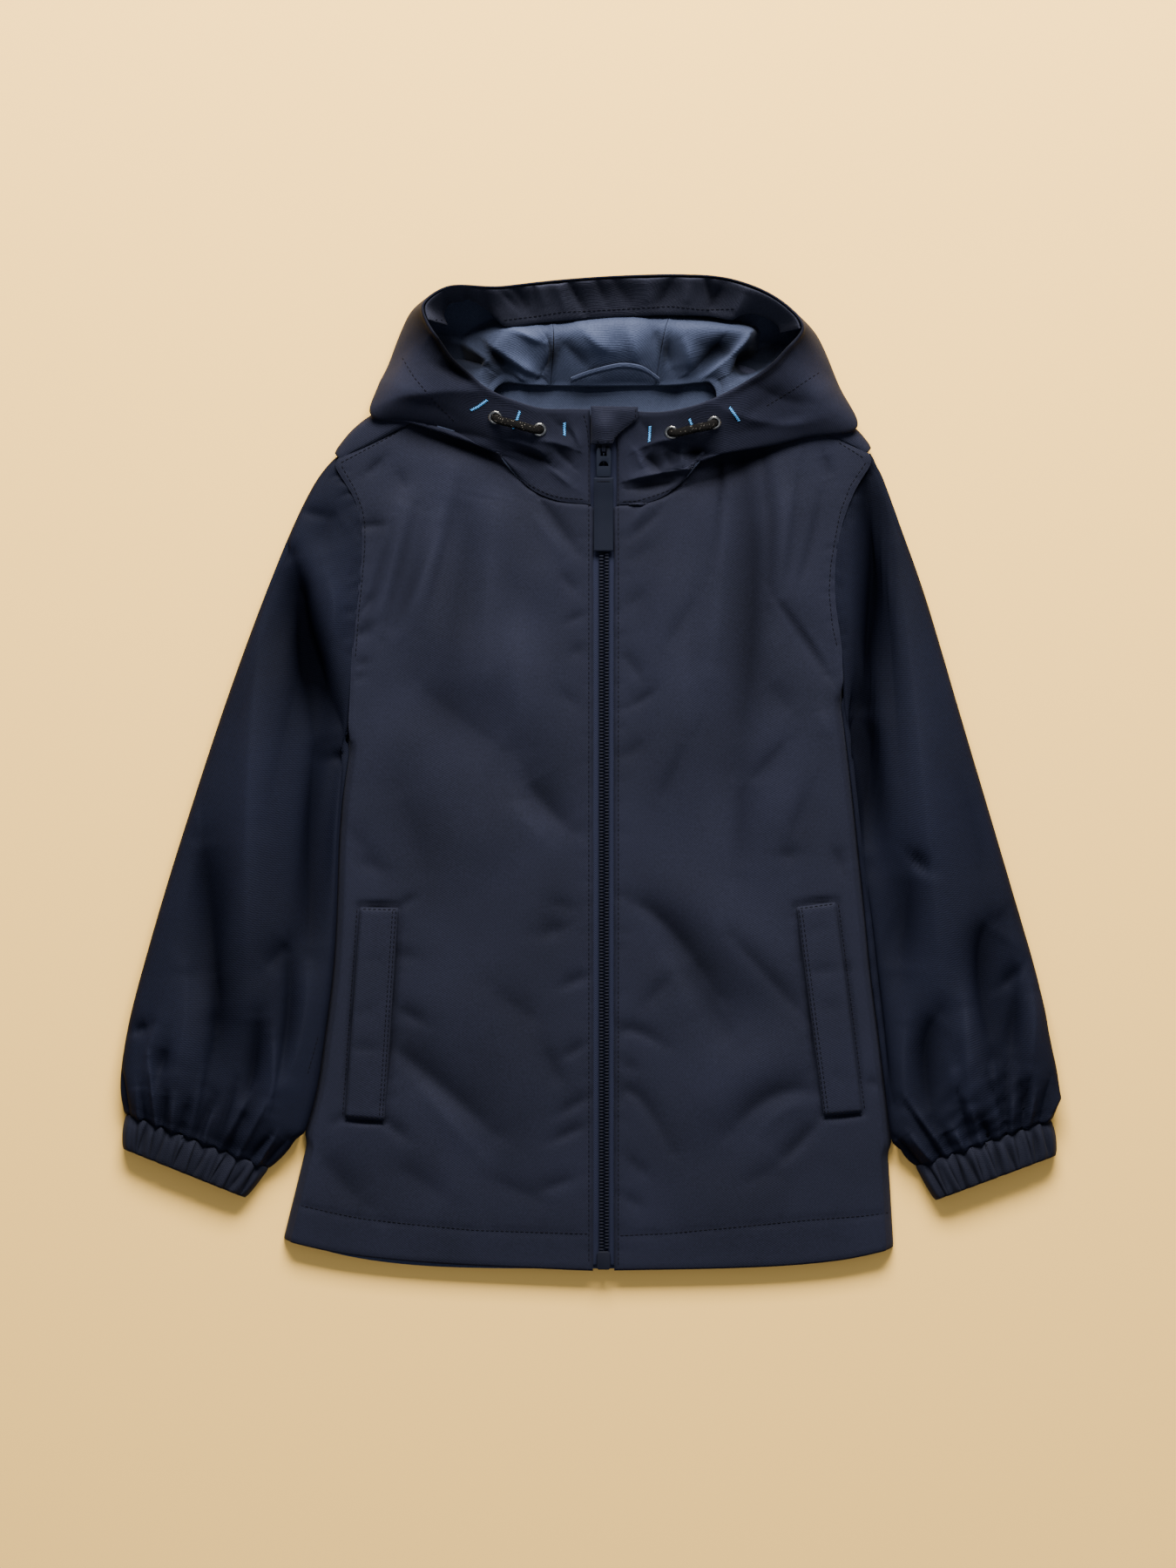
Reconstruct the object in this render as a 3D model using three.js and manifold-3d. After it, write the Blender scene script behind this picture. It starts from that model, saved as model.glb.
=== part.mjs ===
// A kids raincoat with a hood, laid flat on its back with the front up.
// Millimetres, +Z up, +Y towards the hood, +X to the right of the picture.
// Every cloth piece is a thin wall worked out from its middle surface.
import * as THREE from 'three';
import Module from 'manifold-3d';
import { mergeVertices } from 'three/addons/utils/BufferGeometryUtils.js';

// Driving sizes
const WALL = 1.4;
const SEAM_GAP = 0.3;
const HALF_GAP = 0.2;
const ZIP_X = 8.4;
const PLACKET_HALF = 8.1;
const HEM_Y = -302.4;
const CLOTH_MID_Z = 9.3;
const SIDE_ROLL = 8;
const HEM_SAG = 6.5;
const CUFF_RIBS = 10;
const CUFF_RIB_HEIGHT = 0.7;
const CHAIN_WIDTH = 6.6;
const TAPE_REACH = 5.5;

// Cloth heights along the zip, from the hem to the top of the collar
const CENTRE_LINE = [
  { y: -305, mid: 8.3 },
  { y: -260, mid: 9.3 },
  { y: 150, mid: 9.3 },
  { y: 166, mid: 9.5 },
  { y: 180, mid: 10.8 },
  { y: 199, mid: 14.0 },
  { y: 222, mid: 19.6 },
];

// Sections of the left front: side point, centre point, 1 where the side turns to the ground
const LEFT_FRONT = [
  { sx: -187, sy: -282, cx: 0.3, cy: -302.4, turn: 1 },
  { sx: -182, sy: -262, cx: 0.3, cy: -274, turn: 1 },
  { sx: -175, sy: -234, cx: 0.3, cy: -240, turn: 1 },
  { sx: -167, sy: -200, cx: 0.3, cy: -204, turn: 1 },
  { sx: -161, sy: -160, cx: 0.3, cy: -163, turn: 1 },
  { sx: -156, sy: -122, cx: 0.3, cy: -124, turn: 1 },
  { sx: -153.6, sy: -80, cx: 0.3, cy: -82, turn: 1 },
  { sx: -152.6, sy: -42, cx: 0.3, cy: -43, turn: 1 },
  { sx: -149.5, sy: -8, cx: 0.3, cy: -8, turn: 1 },
  { sx: -146.6, sy: 12, cx: 0.3, cy: 13, turn: 1 },
  { sx: -145.6, sy: 26, cx: 0.3, cy: 28, turn: 0, armhole: true },
  { sx: -144.4, sy: 60, cx: 0.3, cy: 62, turn: 0, armhole: true },
  { sx: -142.6, sy: 95, cx: 0.3, cy: 97, turn: 0, armhole: true },
  { sx: -138.4, sy: 134, cx: 0.3, cy: 132, turn: 0, armhole: true },
  { sx: -140.6, sy: 163, cx: 0.3, cy: 160, turn: 0, armhole: true },
  { sx: -146, sy: 177, cx: -17, cy: 165.4, turn: 0, armhole: true },
  { sx: -153.4, sy: 189.4, cx: -33.4, cy: 171.3, turn: 0, armhole: true },
  { sx: -134, sy: 200, cx: -48, cy: 184, turn: 0 },
  { sx: -112, sy: 212, cx: -57.5, cy: 200, turn: 0 },
  { sx: -88, sy: 225, cx: -62, cy: 218, turn: 0 },
  { sx: -70, sy: 235, cx: -63, cy: 231, turn: 0 },
];

// Sections of the right front, in the same columns
const RIGHT_FRONT = [
  { sx: 185.5, sy: -287, cx: 16.5, cy: -302.2, turn: 1 },
  { sx: 184, sy: -262, cx: 16.5, cy: -273, turn: 1 },
  { sx: 182, sy: -231, cx: 16.5, cy: -237, turn: 1 },
  { sx: 179.2, sy: -196, cx: 16.5, cy: -200, turn: 1 },
  { sx: 175, sy: -158, cx: 16.5, cy: -160, turn: 1 },
  { sx: 170, sy: -120, cx: 16.5, cy: -121, turn: 1 },
  { sx: 166.4, sy: -80, cx: 16.5, cy: -81, turn: 1 },
  { sx: 162.4, sy: -42, cx: 16.5, cy: -42, turn: 1 },
  { sx: 158.4, sy: -4, cx: 16.5, cy: -4, turn: 1 },
  { sx: 154.4, sy: 26, cx: 16.5, cy: 27, turn: 1 },
  { sx: 152.6, sy: 40, cx: 16.5, cy: 42, turn: 1 },
  { sx: 152.6, sy: 54, cx: 16.5, cy: 56, turn: 0, armhole: true },
  { sx: 152, sy: 78, cx: 16.5, cy: 80, turn: 0, armhole: true },
  { sx: 148.6, sy: 106, cx: 16.5, cy: 107, turn: 0, armhole: true },
  { sx: 149.8, sy: 134, cx: 16.5, cy: 135, turn: 0, armhole: true },
  { sx: 155.4, sy: 160.5, cx: 16.5, cy: 160, turn: 0, armhole: true },
  { sx: 162, sy: 177.5, cx: 30, cy: 163.4, turn: 0, armhole: true },
  { sx: 170.4, sy: 192, cx: 44, cy: 167.6, turn: 0, armhole: true },
  { sx: 152, sy: 203, cx: 59, cy: 179, turn: 0 },
  { sx: 131, sy: 214.5, cx: 71, cy: 197, turn: 0 },
  { sx: 108, sy: 227, cx: 78, cy: 215, turn: 0 },
  { sx: 88, sy: 237, cx: 80, cy: 230, turn: 0 },
];

// Large soft folds of the fronts: from, to, half width and rise (a trough is below 0)
const BODY_FOLDS = [
  { x1: -86, y1: 60, x2: -8, y2: -44, half: 20, rise: -2.0 },
  { x1: -60, y1: 84, x2: -4, y2: 10, half: 20, rise: 2.6 },
  { x1: -122, y1: 40, x2: -56, y2: -60, half: 24, rise: 2.0 },
  { x1: -118, y1: 186, x2: -88, y2: 60, half: 15, rise: 2.6 },
  { x1: -92, y1: 178, x2: -66, y2: 70, half: 10, rise: -1.6 },
  { x1: -62, y1: 172, x2: -24, y2: 104, half: 12, rise: 2.2 },
  { x1: -120, y1: -150, x2: -66, y2: -250, half: 16, rise: -1.6 },
  { x1: -84, y1: -120, x2: -24, y2: -210, half: 22, rise: 1.8 },
  { x1: 82, y1: 150, x2: 78, y2: -50, half: 15, rise: -2.0 },
  { x1: 48, y1: 140, x2: 50, y2: -30, half: 18, rise: 2.2 },
  { x1: 112, y1: 150, x2: 116, y2: -60, half: 18, rise: 2.4 },
  { x1: 114, y1: 106, x2: 144, y2: 60, half: 8, rise: -1.8 },
  { x1: 30, y1: -84, x2: 104, y2: -166, half: 16, rise: -1.8 },
  { x1: 40, y1: -60, x2: 120, y2: -130, half: 16, rise: 2.2 },
  { x1: 64, y1: -244, x2: 128, y2: -196, half: 14, rise: -1.6 },
  { x1: 60, y1: -200, x2: 140, y2: -160, half: 15, rise: 2.0 },
  { x1: 130, y1: 180, x2: 104, y2: 130, half: 12, rise: 1.8 },
];

// Sections of the sleeves: outer edge, inner edge, height at the middle and depth of
// the trough beside the body
const LEFT_SLEEVE = [
  { ox: -157, oy: 192, ix: -147.2, iy: 17, top: 10.6, trough: 0 },
  { ox: -168, oy: 176, ix: -149, iy: 2, top: 12.5, trough: 1.5 },
  { ox: -183, oy: 145, ix: -151.6, iy: -14, top: 15.5, trough: 5.5 },
  { ox: -204, oy: 92, ix: -153.4, iy: -36, top: 18, trough: 8 },
  { ox: -224, oy: 36, ix: -154.4, iy: -62, top: 18.5, trough: 8 },
  { ox: -243, oy: -22, ix: -155.6, iy: -92, top: 18, trough: 5 },
  { ox: -258, oy: -70, ix: -157.8, iy: -122, top: 18.5, trough: 2.5 },
  { ox: -271, oy: -115, ix: -162, iy: -156, top: 19, trough: 1 },
  { ox: -280.5, oy: -152, ix: -167, iy: -190, top: 19.5, trough: 0 },
  { ox: -285.4, oy: -184, ix: -176.6, iy: -217, top: 19, trough: 0 },
  { ox: -284.6, oy: -200, ix: -185.6, iy: -231, top: 16, trough: 0 },
  { ox: -282.4, oy: -206.6, ix: -194.6, iy: -239.2, top: 12.6, trough: 0 },
];
const RIGHT_SLEEVE = [
  { ox: 173.4, oy: 194, ix: 153.8, iy: 45, top: 10.6, trough: 0 },
  { ox: 181.5, oy: 172, ix: 156.4, iy: 28, top: 12.5, trough: 2 },
  { ox: 190, oy: 148, ix: 158.8, iy: 8, top: 15.5, trough: 7 },
  { ox: 205, oy: 105, ix: 161.8, iy: -18, top: 18, trough: 9 },
  { ox: 226, oy: 34, ix: 165.2, iy: -50, top: 18.5, trough: 8 },
  { ox: 245, oy: -30, ix: 168.8, iy: -84, top: 18, trough: 5 },
  { ox: 260, oy: -81, ix: 172.4, iy: -118, top: 18.5, trough: 3 },
  { ox: 272, oy: -123, ix: 177, iy: -156, top: 19, trough: 1 },
  { ox: 280, oy: -161, ix: 181.6, iy: -192, top: 19.5, trough: 0 },
  { ox: 285, oy: -186, ix: 185.6, iy: -218, top: 19, trough: 0 },
  { ox: 284, oy: -202, ix: 190.8, iy: -231, top: 16, trough: 0 },
  { ox: 281, oy: -210, ix: 197.6, iy: -238, top: 12.6, trough: 0 },
];

// Soft folds of the sleeves, in shares of the length and of the width from the outer edge
const LEFT_SLEEVE_FOLDS = [
  { t1: 0.46, w1: 0.2, t2: 0.78, w2: 0.34, half: 0.07, rise: -3.2 },
  { t1: 0.66, w1: 0.56, t2: 0.93, w2: 0.42, half: 0.08, rise: -3.6 },
  { t1: 0.3, w1: 0.42, t2: 0.62, w2: 0.44, half: 0.16, rise: 1.6 },
  { t1: 0.72, w1: 0.08, t2: 0.86, w2: 0.22, half: 0.06, rise: -2.2 },
  { t1: 0.7, w1: 0.72, t2: 0.95, w2: 0.66, half: 0.08, rise: 1.8 },
  { t1: 0.06, w1: 0.3, t2: 0.3, w2: 0.34, half: 0.1, rise: 1.6 },
];
const RIGHT_SLEEVE_FOLDS = [
  { t1: 0.56, w1: 0.18, t2: 0.84, w2: 0.3, half: 0.07, rise: -3.4 },
  { t1: 0.72, w1: 0.66, t2: 0.95, w2: 0.5, half: 0.08, rise: -3.4 },
  { t1: 0.3, w1: 0.4, t2: 0.6, w2: 0.44, half: 0.16, rise: 1.6 },
  { t1: 0.42, w1: 0.62, t2: 0.52, w2: 0.86, half: 0.07, rise: -2.0 },
  { t1: 0.62, w1: 0.48, t2: 0.84, w2: 0.46, half: 0.09, rise: 1.8 },
  { t1: 0.05, w1: 0.3, t2: 0.26, w2: 0.3, half: 0.1, rise: 1.6 },
];

// Cuffs: the edge at the sleeve and the edge at the hand
const LEFT_CUFF = [
  { ox: -282.8, oy: -207.4, ix: -196.2, iy: -240.6, top: 12.6 },
  { ox: -284.6, oy: -217.6, ix: -202.4, iy: -249.4, top: 13.4 },
  { ox: -284.6, oy: -228.2, ix: -209.4, iy: -257.8, top: 12.4 },
];
const RIGHT_CUFF = [
  { ox: 281.2, oy: -211, ix: 198.8, iy: -239.4, top: 12.6 },
  { ox: 284, oy: -221.4, ix: 204, iy: -249.6, top: 13.4 },
  { ox: 284.2, oy: -232.4, ix: 210, iy: -259.4, top: 12.4 },
];

// The hood, section by section round the face opening from the left of the zip:
// n neck seam, a first fold, b hollow behind it, d outer fold or foot, r rim
const HOOD = [
  { n: [0.3, 165.2, 9.5], a: [0.3, 176, 10.4], b: [0.3, 188, 12], d: [0.3, 199, 14], r: [0.3, 221.5, 19.5] },
  { n: [-17, 166, 9.5], a: [-15, 177, 10.6], b: [-14, 188, 12.6], d: [-13, 201.5, 16.4], r: [-12, 221.6, 22] },
  { n: [-33, 172, 9.5], a: [-32, 180, 10.4], b: [-32, 187, 12], d: [-33, 196.6, 16.6], r: [-30, 222, 25] },
  { n: [-47, 185, 9.8], a: [-49, 189, 12.4], b: [-53, 194, 12.6], d: [-60, 201, 15.6], r: [-49, 227.6, 28] },
  { n: [-56, 200.6, 10], a: [-60, 202.5, 13.6], b: [-72, 205, 12.6], d: [-87, 211.2, 14], r: [-62.5, 234, 30] },
  { n: [-60, 218, 10], a: [-66, 219, 14.6], b: [-88, 218, 12.8], d: [-112, 216, 13.6], r: [-72, 241.6, 32] },
  { n: [-60, 231, 10], a: [-68, 232, 17], b: [-95, 230, 13], d: [-133, 219.4, 12.6], r: [-83, 251, 34] },
  { n: [-53, 238.2, 8.6], a: [-68, 243, 20], b: [-94, 252, 3], d: [-123.4, 246, 5], r: [-91.5, 263, 35] },
  { n: [-45, 238, 7.8], a: [-62, 254, 23], b: [-86, 263, 1.4], d: [-113.6, 270, 4], r: [-99.5, 275.6, 36] },
  { n: [-38, 237, 7.4], a: [-52, 265, 24], b: [-76, 272, 1], d: [-104, 282.4, 4], r: [-100, 286, 37] },
  { n: [-32, 236.6, 7.2], a: [-40, 268, 22], b: [-56, 279, 0.7], d: [-82.6, 291, 4], r: [-84, 295.6, 38] },
  { n: [-28, 236.4, 7.2], a: [-30, 268.4, 24], b: [-42, 281, 0.7], d: [-56, 290.6, 4], r: [-57, 295, 38.6] },
  { n: [-24, 236.2, 7.2], a: [-22, 267, 26], b: [-26, 283, 0.7], d: [-28.6, 293, 4], r: [-28.6, 298, 39.6], seam: true },
  { n: [-4, 236, 7.2], a: [-2, 270, 25], b: [-2, 285, 0.7], d: [0, 295.4, 4], r: [0, 300.4, 40] },
  { n: [15, 236, 7.2], a: [18, 271.6, 27], b: [22, 286, 0.7], d: [28, 297, 4], r: [28, 301.8, 40.4] },
  { n: [40, 236.2, 7.2], a: [46, 270.6, 25], b: [54, 285.6, 0.7], d: [60, 297.4, 4], r: [60, 302.2, 40], seam: true },
  { n: [48, 236.4, 7.2], a: [62, 270, 25.5], b: [74, 282.4, 0.7], d: [84, 294.4, 4], r: [84, 300, 39] },
  { n: [55, 236.8, 7.4], a: [80, 269, 26], b: [90, 277, 0.8], d: [108, 286.6, 4], r: [106, 292.4, 38] },
  { n: [61, 237.6, 7.6], a: [94, 266.6, 25], b: [104, 271, 1], d: [127.4, 274.6, 4], r: [122, 281.4, 37] },
  { n: [67, 238.4, 8], a: [92, 258, 23], b: [108, 262, 1.6], d: [139.4, 261.6, 4], r: [129, 270, 35.6] },
  { n: [73, 238.6, 9], a: [88, 246, 20], b: [114, 250, 4], d: [152.4, 233.6, 6], r: [120, 258.6, 34] },
  { n: [77.6, 231, 10], a: [86, 234, 17], b: [120, 228, 13], d: [162, 211, 12.6], r: [108, 246.4, 32.6] },
  { n: [75.6, 215.4, 10], a: [82, 218, 14.6], b: [108, 215, 12.8], d: [134, 206.4, 13.6], r: [94, 237.4, 31] },
  { n: [69, 198, 10], a: [74, 202, 13.6], b: [88, 203, 12.6], d: [110, 201.4, 14], r: [80, 230, 29] },
  { n: [57.4, 180.4, 9.8], a: [60, 187, 12.2], b: [66, 191, 13], d: [82, 199.6, 15.4], r: [64, 223.6, 27] },
  { n: [43.4, 169, 9.5], a: [44, 178, 10.6], b: [48, 187, 13.4], d: [56, 198.4, 16.8], r: [45, 219.8, 24.4] },
  { n: [30, 165, 9.5], a: [30, 176, 10.6], b: [32, 188, 13], d: [34, 200, 16.6], r: [30, 220, 22] },
  { n: [16.5, 165, 9.5], a: [16.5, 176, 10.4], b: [16.5, 188, 12], d: [16.5, 199, 14], r: [16.5, 221.5, 19.5] },
];
const FACING_FIRST = 8;
const FACING_LAST = 19;
const FACING_WIDTH = 22;
const OPENING_CENTRE = [15, 252];

// The back's shoulder ends: the fold over the shoulder and the seam on the front
const LEFT_SHOULDER = [
  { fx: -154.6, fy: 197, sx: -150.4, sy: 191.2 },
  { fx: -147.5, fy: 206.6, sx: -141, sy: 196.4 },
  { fx: -135.6, fy: 217, sx: -127, sy: 204 },
  { fx: -112, fy: 230.6, sx: -106, sy: 215.4 },
  { fx: -90, fy: 242, sx: -86, sy: 226.2 },
  { fx: -74, fy: 248, sx: -71, sy: 234.8 },
];
const RIGHT_SHOULDER = [
  { fx: 171, fy: 199.6, sx: 167, sy: 194 },
  { fx: 164, fy: 208.6, sx: 158, sy: 199.6 },
  { fx: 151, fy: 219, sx: 144, sy: 207.6 },
  { fx: 128, fy: 231.6, sx: 124, sy: 218.6 },
  { fx: 106, fy: 243.6, sx: 103, sy: 230 },
  { fx: 91, fy: 249.6, sx: 88.4, sy: 237.2 },
];

// Pocket welts: top and bottom ends on the outer and inner long sides
const WELT_WALL = 1.2;
const WELT_RISE = 1.0;
const LEFT_WELT = { outTop: [-139.6, -81.2], inTop: [-116.6, -81.6], outEnd: [-148.8, -209], inEnd: [-125, -211] };
const RIGHT_WELT = { outTop: [149.4, -78], inTop: [125.8, -81], outEnd: [165.6, -206], inEnd: [142.4, -208] };

// Eyelets on the hood and the elastic between each pair
const EYELET_OUTER = 4.3;
const EYELET_HOLE = 2.6;
const EYELET_HEIGHT = 1.1;
const CORD_RADIUS = 1.9;
const LEFT_EYELETS = [[-57.2, 217], [-30.7, 209.6]];
const RIGHT_EYELETS = [[49.8, 208], [75.3, 213.9]];

// Materials
function cloth(color) {
  return new THREE.MeshStandardMaterial({ color, roughness: 0.72, metalness: 0 });
}
const shellCloth = cloth(0x2b2e3d);
const hoodInsideCloth = cloth(0x41475d);
const cuffCloth = cloth(0x262a3a);
const zipTapeCloth = cloth(0x23283c);
const toothPlastic = new THREE.MeshStandardMaterial({ color: 0x2a3148, roughness: 0.45, metalness: 0 });
const pullPlastic = new THREE.MeshStandardMaterial({ color: 0x1f2a44, roughness: 0.5, metalness: 0 });
const eyeletMetal = new THREE.MeshStandardMaterial({ color: 0xc4c4c4, roughness: 0.3, metalness: 1 });
const cordElastic = new THREE.MeshStandardMaterial({ color: 0x33302f, roughness: 0.8, metalness: 0 });

const coat = new THREE.Group();
const body = new THREE.Group();
const zipPull = new THREE.Group();
coat.add(body, zipPull);

// Small maths
function mix(a, b, share) {
  return a + (b - a) * share;
}
function smooth(value) {
  const v = Math.min(Math.max(value, 0), 1);
  return v * v * (3 - 2 * v);
}
function spline(a, b, c, d, share) {
  const s2 = share * share;
  const s3 = s2 * share;
  return 0.5 * (2 * b + (c - a) * share + (2 * a - 5 * b + 4 * c - d) * s2 + (3 * b - a - 3 * c + d) * s3);
}

// A row between the rows of a table, each column on a smooth curve
function rowAt(table, place) {
  const i = Math.min(Math.floor(place), table.length - 2);
  const at = (k) => table[Math.min(Math.max(k, 0), table.length - 1)];
  const row = {};
  for (const key of Object.keys(table[0])) {
    const four = [at(i - 1)[key], at(i)[key], at(i + 1)[key], at(i + 2)[key]];
    if (Array.isArray(four[0])) {
      row[key] = four[0].map((_, k) => spline(four[0][k], four[1][k], four[2][k], four[3][k], place - i));
    } else if (typeof four[0] === 'number') {
      row[key] = spline(...four, place - i);
    }
  }
  return row;
}

// Height of the cloth's middle along the zip
function centreMid(y) {
  const last = CENTRE_LINE.length - 2;
  const found = CENTRE_LINE.findIndex((row, k) => k === last || y < CENTRE_LINE[k + 1].y);
  const low = CENTRE_LINE[found];
  const high = CENTRE_LINE[found + 1];
  return mix(low.mid, high.mid, smooth((y - low.y) / (high.y - low.y)));
}

// How far a fold of a table lifts the cloth at a place
function foldRise(folds, x, y, keys) {
  let rise = 0;
  for (const fold of folds) {
    const [ax, ay, bx, by] = keys.map((key) => fold[key]);
    const long = (bx - ax) ** 2 + (by - ay) ** 2;
    const along = ((x - ax) * (bx - ax) + (y - ay) * (by - ay)) / long;
    const near = Math.min(Math.max(along, 0), 1);
    const away = Math.hypot(x - ax - near * (bx - ax), y - ay - near * (by - ay)) / fold.half;
    const ends = smooth(near / 0.3 + 0.25) * smooth((1 - near) / 0.3 + 0.25);
    rise += fold.rise * Math.exp(-away * away) * ends;
  }
  return rise;
}

// Middle height of the fronts: flat beside the zip and under the hood, lower at the hem
function frontMid(x, y) {
  const besideZip = smooth((Math.abs(x - ZIP_X) - 14) / 26);
  const underHood = 1 - smooth((y - 150) / 45);
  const hem = 1 - smooth((y - HEM_Y) / 42);
  const folds = foldRise(BODY_FOLDS, x, y, ['x1', 'y1', 'x2', 'y2']);
  return CLOTH_MID_Z - hem + folds * besideZip * underHood * (1 - 0.7 * hem);
}

// Unit normals of a grid of middle points
function gridNormals(mid, wrap) {
  const rows = mid.length;
  const cols = mid[0].length;
  const pick = (j) => (wrap ? (j + cols) % cols : Math.min(Math.max(j, 0), cols - 1));
  return mid.map((row, i) => row.map((_, j) => {
    const up = mid[Math.min(i + 1, rows - 1)][j].clone().sub(mid[Math.max(i - 1, 0)][j]);
    const across = row[pick(j + 1)].clone().sub(row[pick(j - 1)]);
    return across.cross(up).normalize();
  }));
}

// A closed body between an outer and an inner grid, turned so that its faces point out
function closedBody(outer, inner, wrap) {
  const rows = outer.length;
  const cols = outer[0].length;
  const points = [...outer.flat(), ...inner.flat()];
  const index = (side, i, j) => side * rows * cols + i * cols + (j % cols);
  const faces = [];
  const quad = (a, b, c, d) => faces.push([a, b, c], [a, c, d]);
  const lastCol = wrap ? cols : cols - 1;
  for (let i = 0; i < rows - 1; i += 1) {
    for (let j = 0; j < lastCol; j += 1) {
      quad(index(0, i, j), index(0, i, j + 1), index(0, i + 1, j + 1), index(0, i + 1, j));
      quad(index(1, i, j), index(1, i + 1, j), index(1, i + 1, j + 1), index(1, i, j + 1));
    }
  }
  for (let j = 0; j < lastCol; j += 1) {
    quad(index(0, 0, j + 1), index(0, 0, j), index(1, 0, j), index(1, 0, j + 1));
    quad(index(0, rows - 1, j), index(0, rows - 1, j + 1), index(1, rows - 1, j + 1), index(1, rows - 1, j));
  }
  if (!wrap) {
    for (let i = 0; i < rows - 1; i += 1) {
      quad(index(0, i, 0), index(0, i + 1, 0), index(1, i + 1, 0), index(1, i, 0));
      quad(index(0, i + 1, cols - 1), index(0, i, cols - 1), index(1, i, cols - 1), index(1, i + 1, cols - 1));
    }
  }
  const volume = faces.reduce((sum, [a, b, c]) => {
    return sum + points[a].dot(points[b].clone().cross(points[c]));
  }, 0);
  const turned = volume < 0 ? faces.map(([a, b, c]) => [a, c, b]) : faces;
  const geometry = new THREE.BufferGeometry();
  geometry.setAttribute('position', new THREE.Float32BufferAttribute(points.flatMap((p) => p.toArray()), 3));
  geometry.setIndex(turned.flat());
  geometry.computeVertexNormals();
  return geometry;
}

function addMesh(group, name, geometry, material) {
  const mesh = new THREE.Mesh(geometry, material);
  mesh.name = name;
  group.add(mesh);
  return mesh;
}

// A cloth piece: its middle grid given its wall, never lower than the ground
function addCloth(name, mid, material, { wall = WALL, wrap = false } = {}) {
  const normals = gridNormals(mid, wrap);
  const side = (sign) => mid.map((row, i) => row.map((p, j) => {
    const q = p.clone().addScaledVector(normals[i][j], sign * wall / 2);
    q.z = Math.max(q.z, 0);
    return q;
  }));
  return addMesh(body, name, closedBody(side(1), side(-1), wrap), material);
}

// Points moved out from a grid, for a piece that lies on it
function movedOut(grid, distance) {
  const normals = gridNormals(grid, false);
  return grid.map((row, i) => row.map((p, j) => {
    const up = normals[i][j].z < 0 ? -1 : 1;
    return p.clone().addScaledVector(normals[i][j], up * distance);
  }));
}

// A front from its table: a turned side edge, then straight across to the zip
const FRONT_STEPS = 2;
const TURN_COLUMNS = 3;
const FLAT_COLUMNS = 10;
function frontGrid(table, side) {
  const rows = [];
  const count = (table.length - 1) * FRONT_STEPS;
  for (let i = 0; i <= count; i += 1) {
    const row = rowAt(table, i / FRONT_STEPS);
    const turn = smooth(row.turn);
    const edge = row.sx + side * (HALF_GAP + turn * (WALL / 2 - HALF_GAP));
    const hemShare = 1 - smooth(i / (4 * FRONT_STEPS));
    const points = [];
    for (let j = 0; j < TURN_COLUMNS + FLAT_COLUMNS; j += 1) {
      const angle = Math.min(j / TURN_COLUMNS, 1) * Math.PI / 2;
      const across = Math.max(j - TURN_COLUMNS, 0) / (FLAT_COLUMNS - 1);
      const narrow = Math.min(1, Math.abs(row.cx - row.sx) / 60);
      const rolled = edge + side * SIDE_ROLL * narrow * (1 - Math.cos(angle));
      const x = mix(rolled, row.cx, across);
      const share = (x - row.sx) / (row.cx - row.sx);
      const sag = hemShare * HEM_SAG * Math.sin(Math.PI * Math.max(share, 0) ** 0.6);
      const y = mix(row.sy, row.cy, share) - sag;
      const top = frontMid(x, y);
      points.push(new THREE.Vector3(x, y, mix(top, top * Math.sin(angle), turn)));
    }
    rows.push(points);
  }
  return rows;
}
const leftFront = frontGrid(LEFT_FRONT, 1);
const rightFront = frontGrid(RIGHT_FRONT, -1);
addCloth('front_left', leftFront, shellCloth);
addCloth('front_right', rightFront, shellCloth);

// The armhole as a curve from the shoulder to the underarm
function armholeCurve(table) {
  const rows = table.filter((row) => row.armhole);
  const points = rows.map((row) => new THREE.Vector3(row.sx, row.sy, 0)).reverse();
  return new THREE.CatmullRomCurve3(points);
}

// The back lies flat from the hem to the shoulders and rises to the neck seam
const BACK_ROWS = 16;
const BACK_COLUMNS = 16;
const NECK_RISE = 6.4;
const BACK_INSET = WALL + SEAM_GAP + 0.5;
const BACK_SIDE_TOP = 186;
const SHOULDER_FOOT = 9;
function backEdge(table, y) {
  const sides = table.filter((row) => row.turn || row.armhole);
  const reach = Math.min(y, BACK_SIDE_TOP);
  const found = sides.findIndex((row, k) => k === sides.length - 2 || reach < sides[k + 1].sy);
  const share = (reach - sides[found].sy) / (sides[found + 1].sy - sides[found].sy);
  return rowAt(sides, found + share).sx;
}
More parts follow.
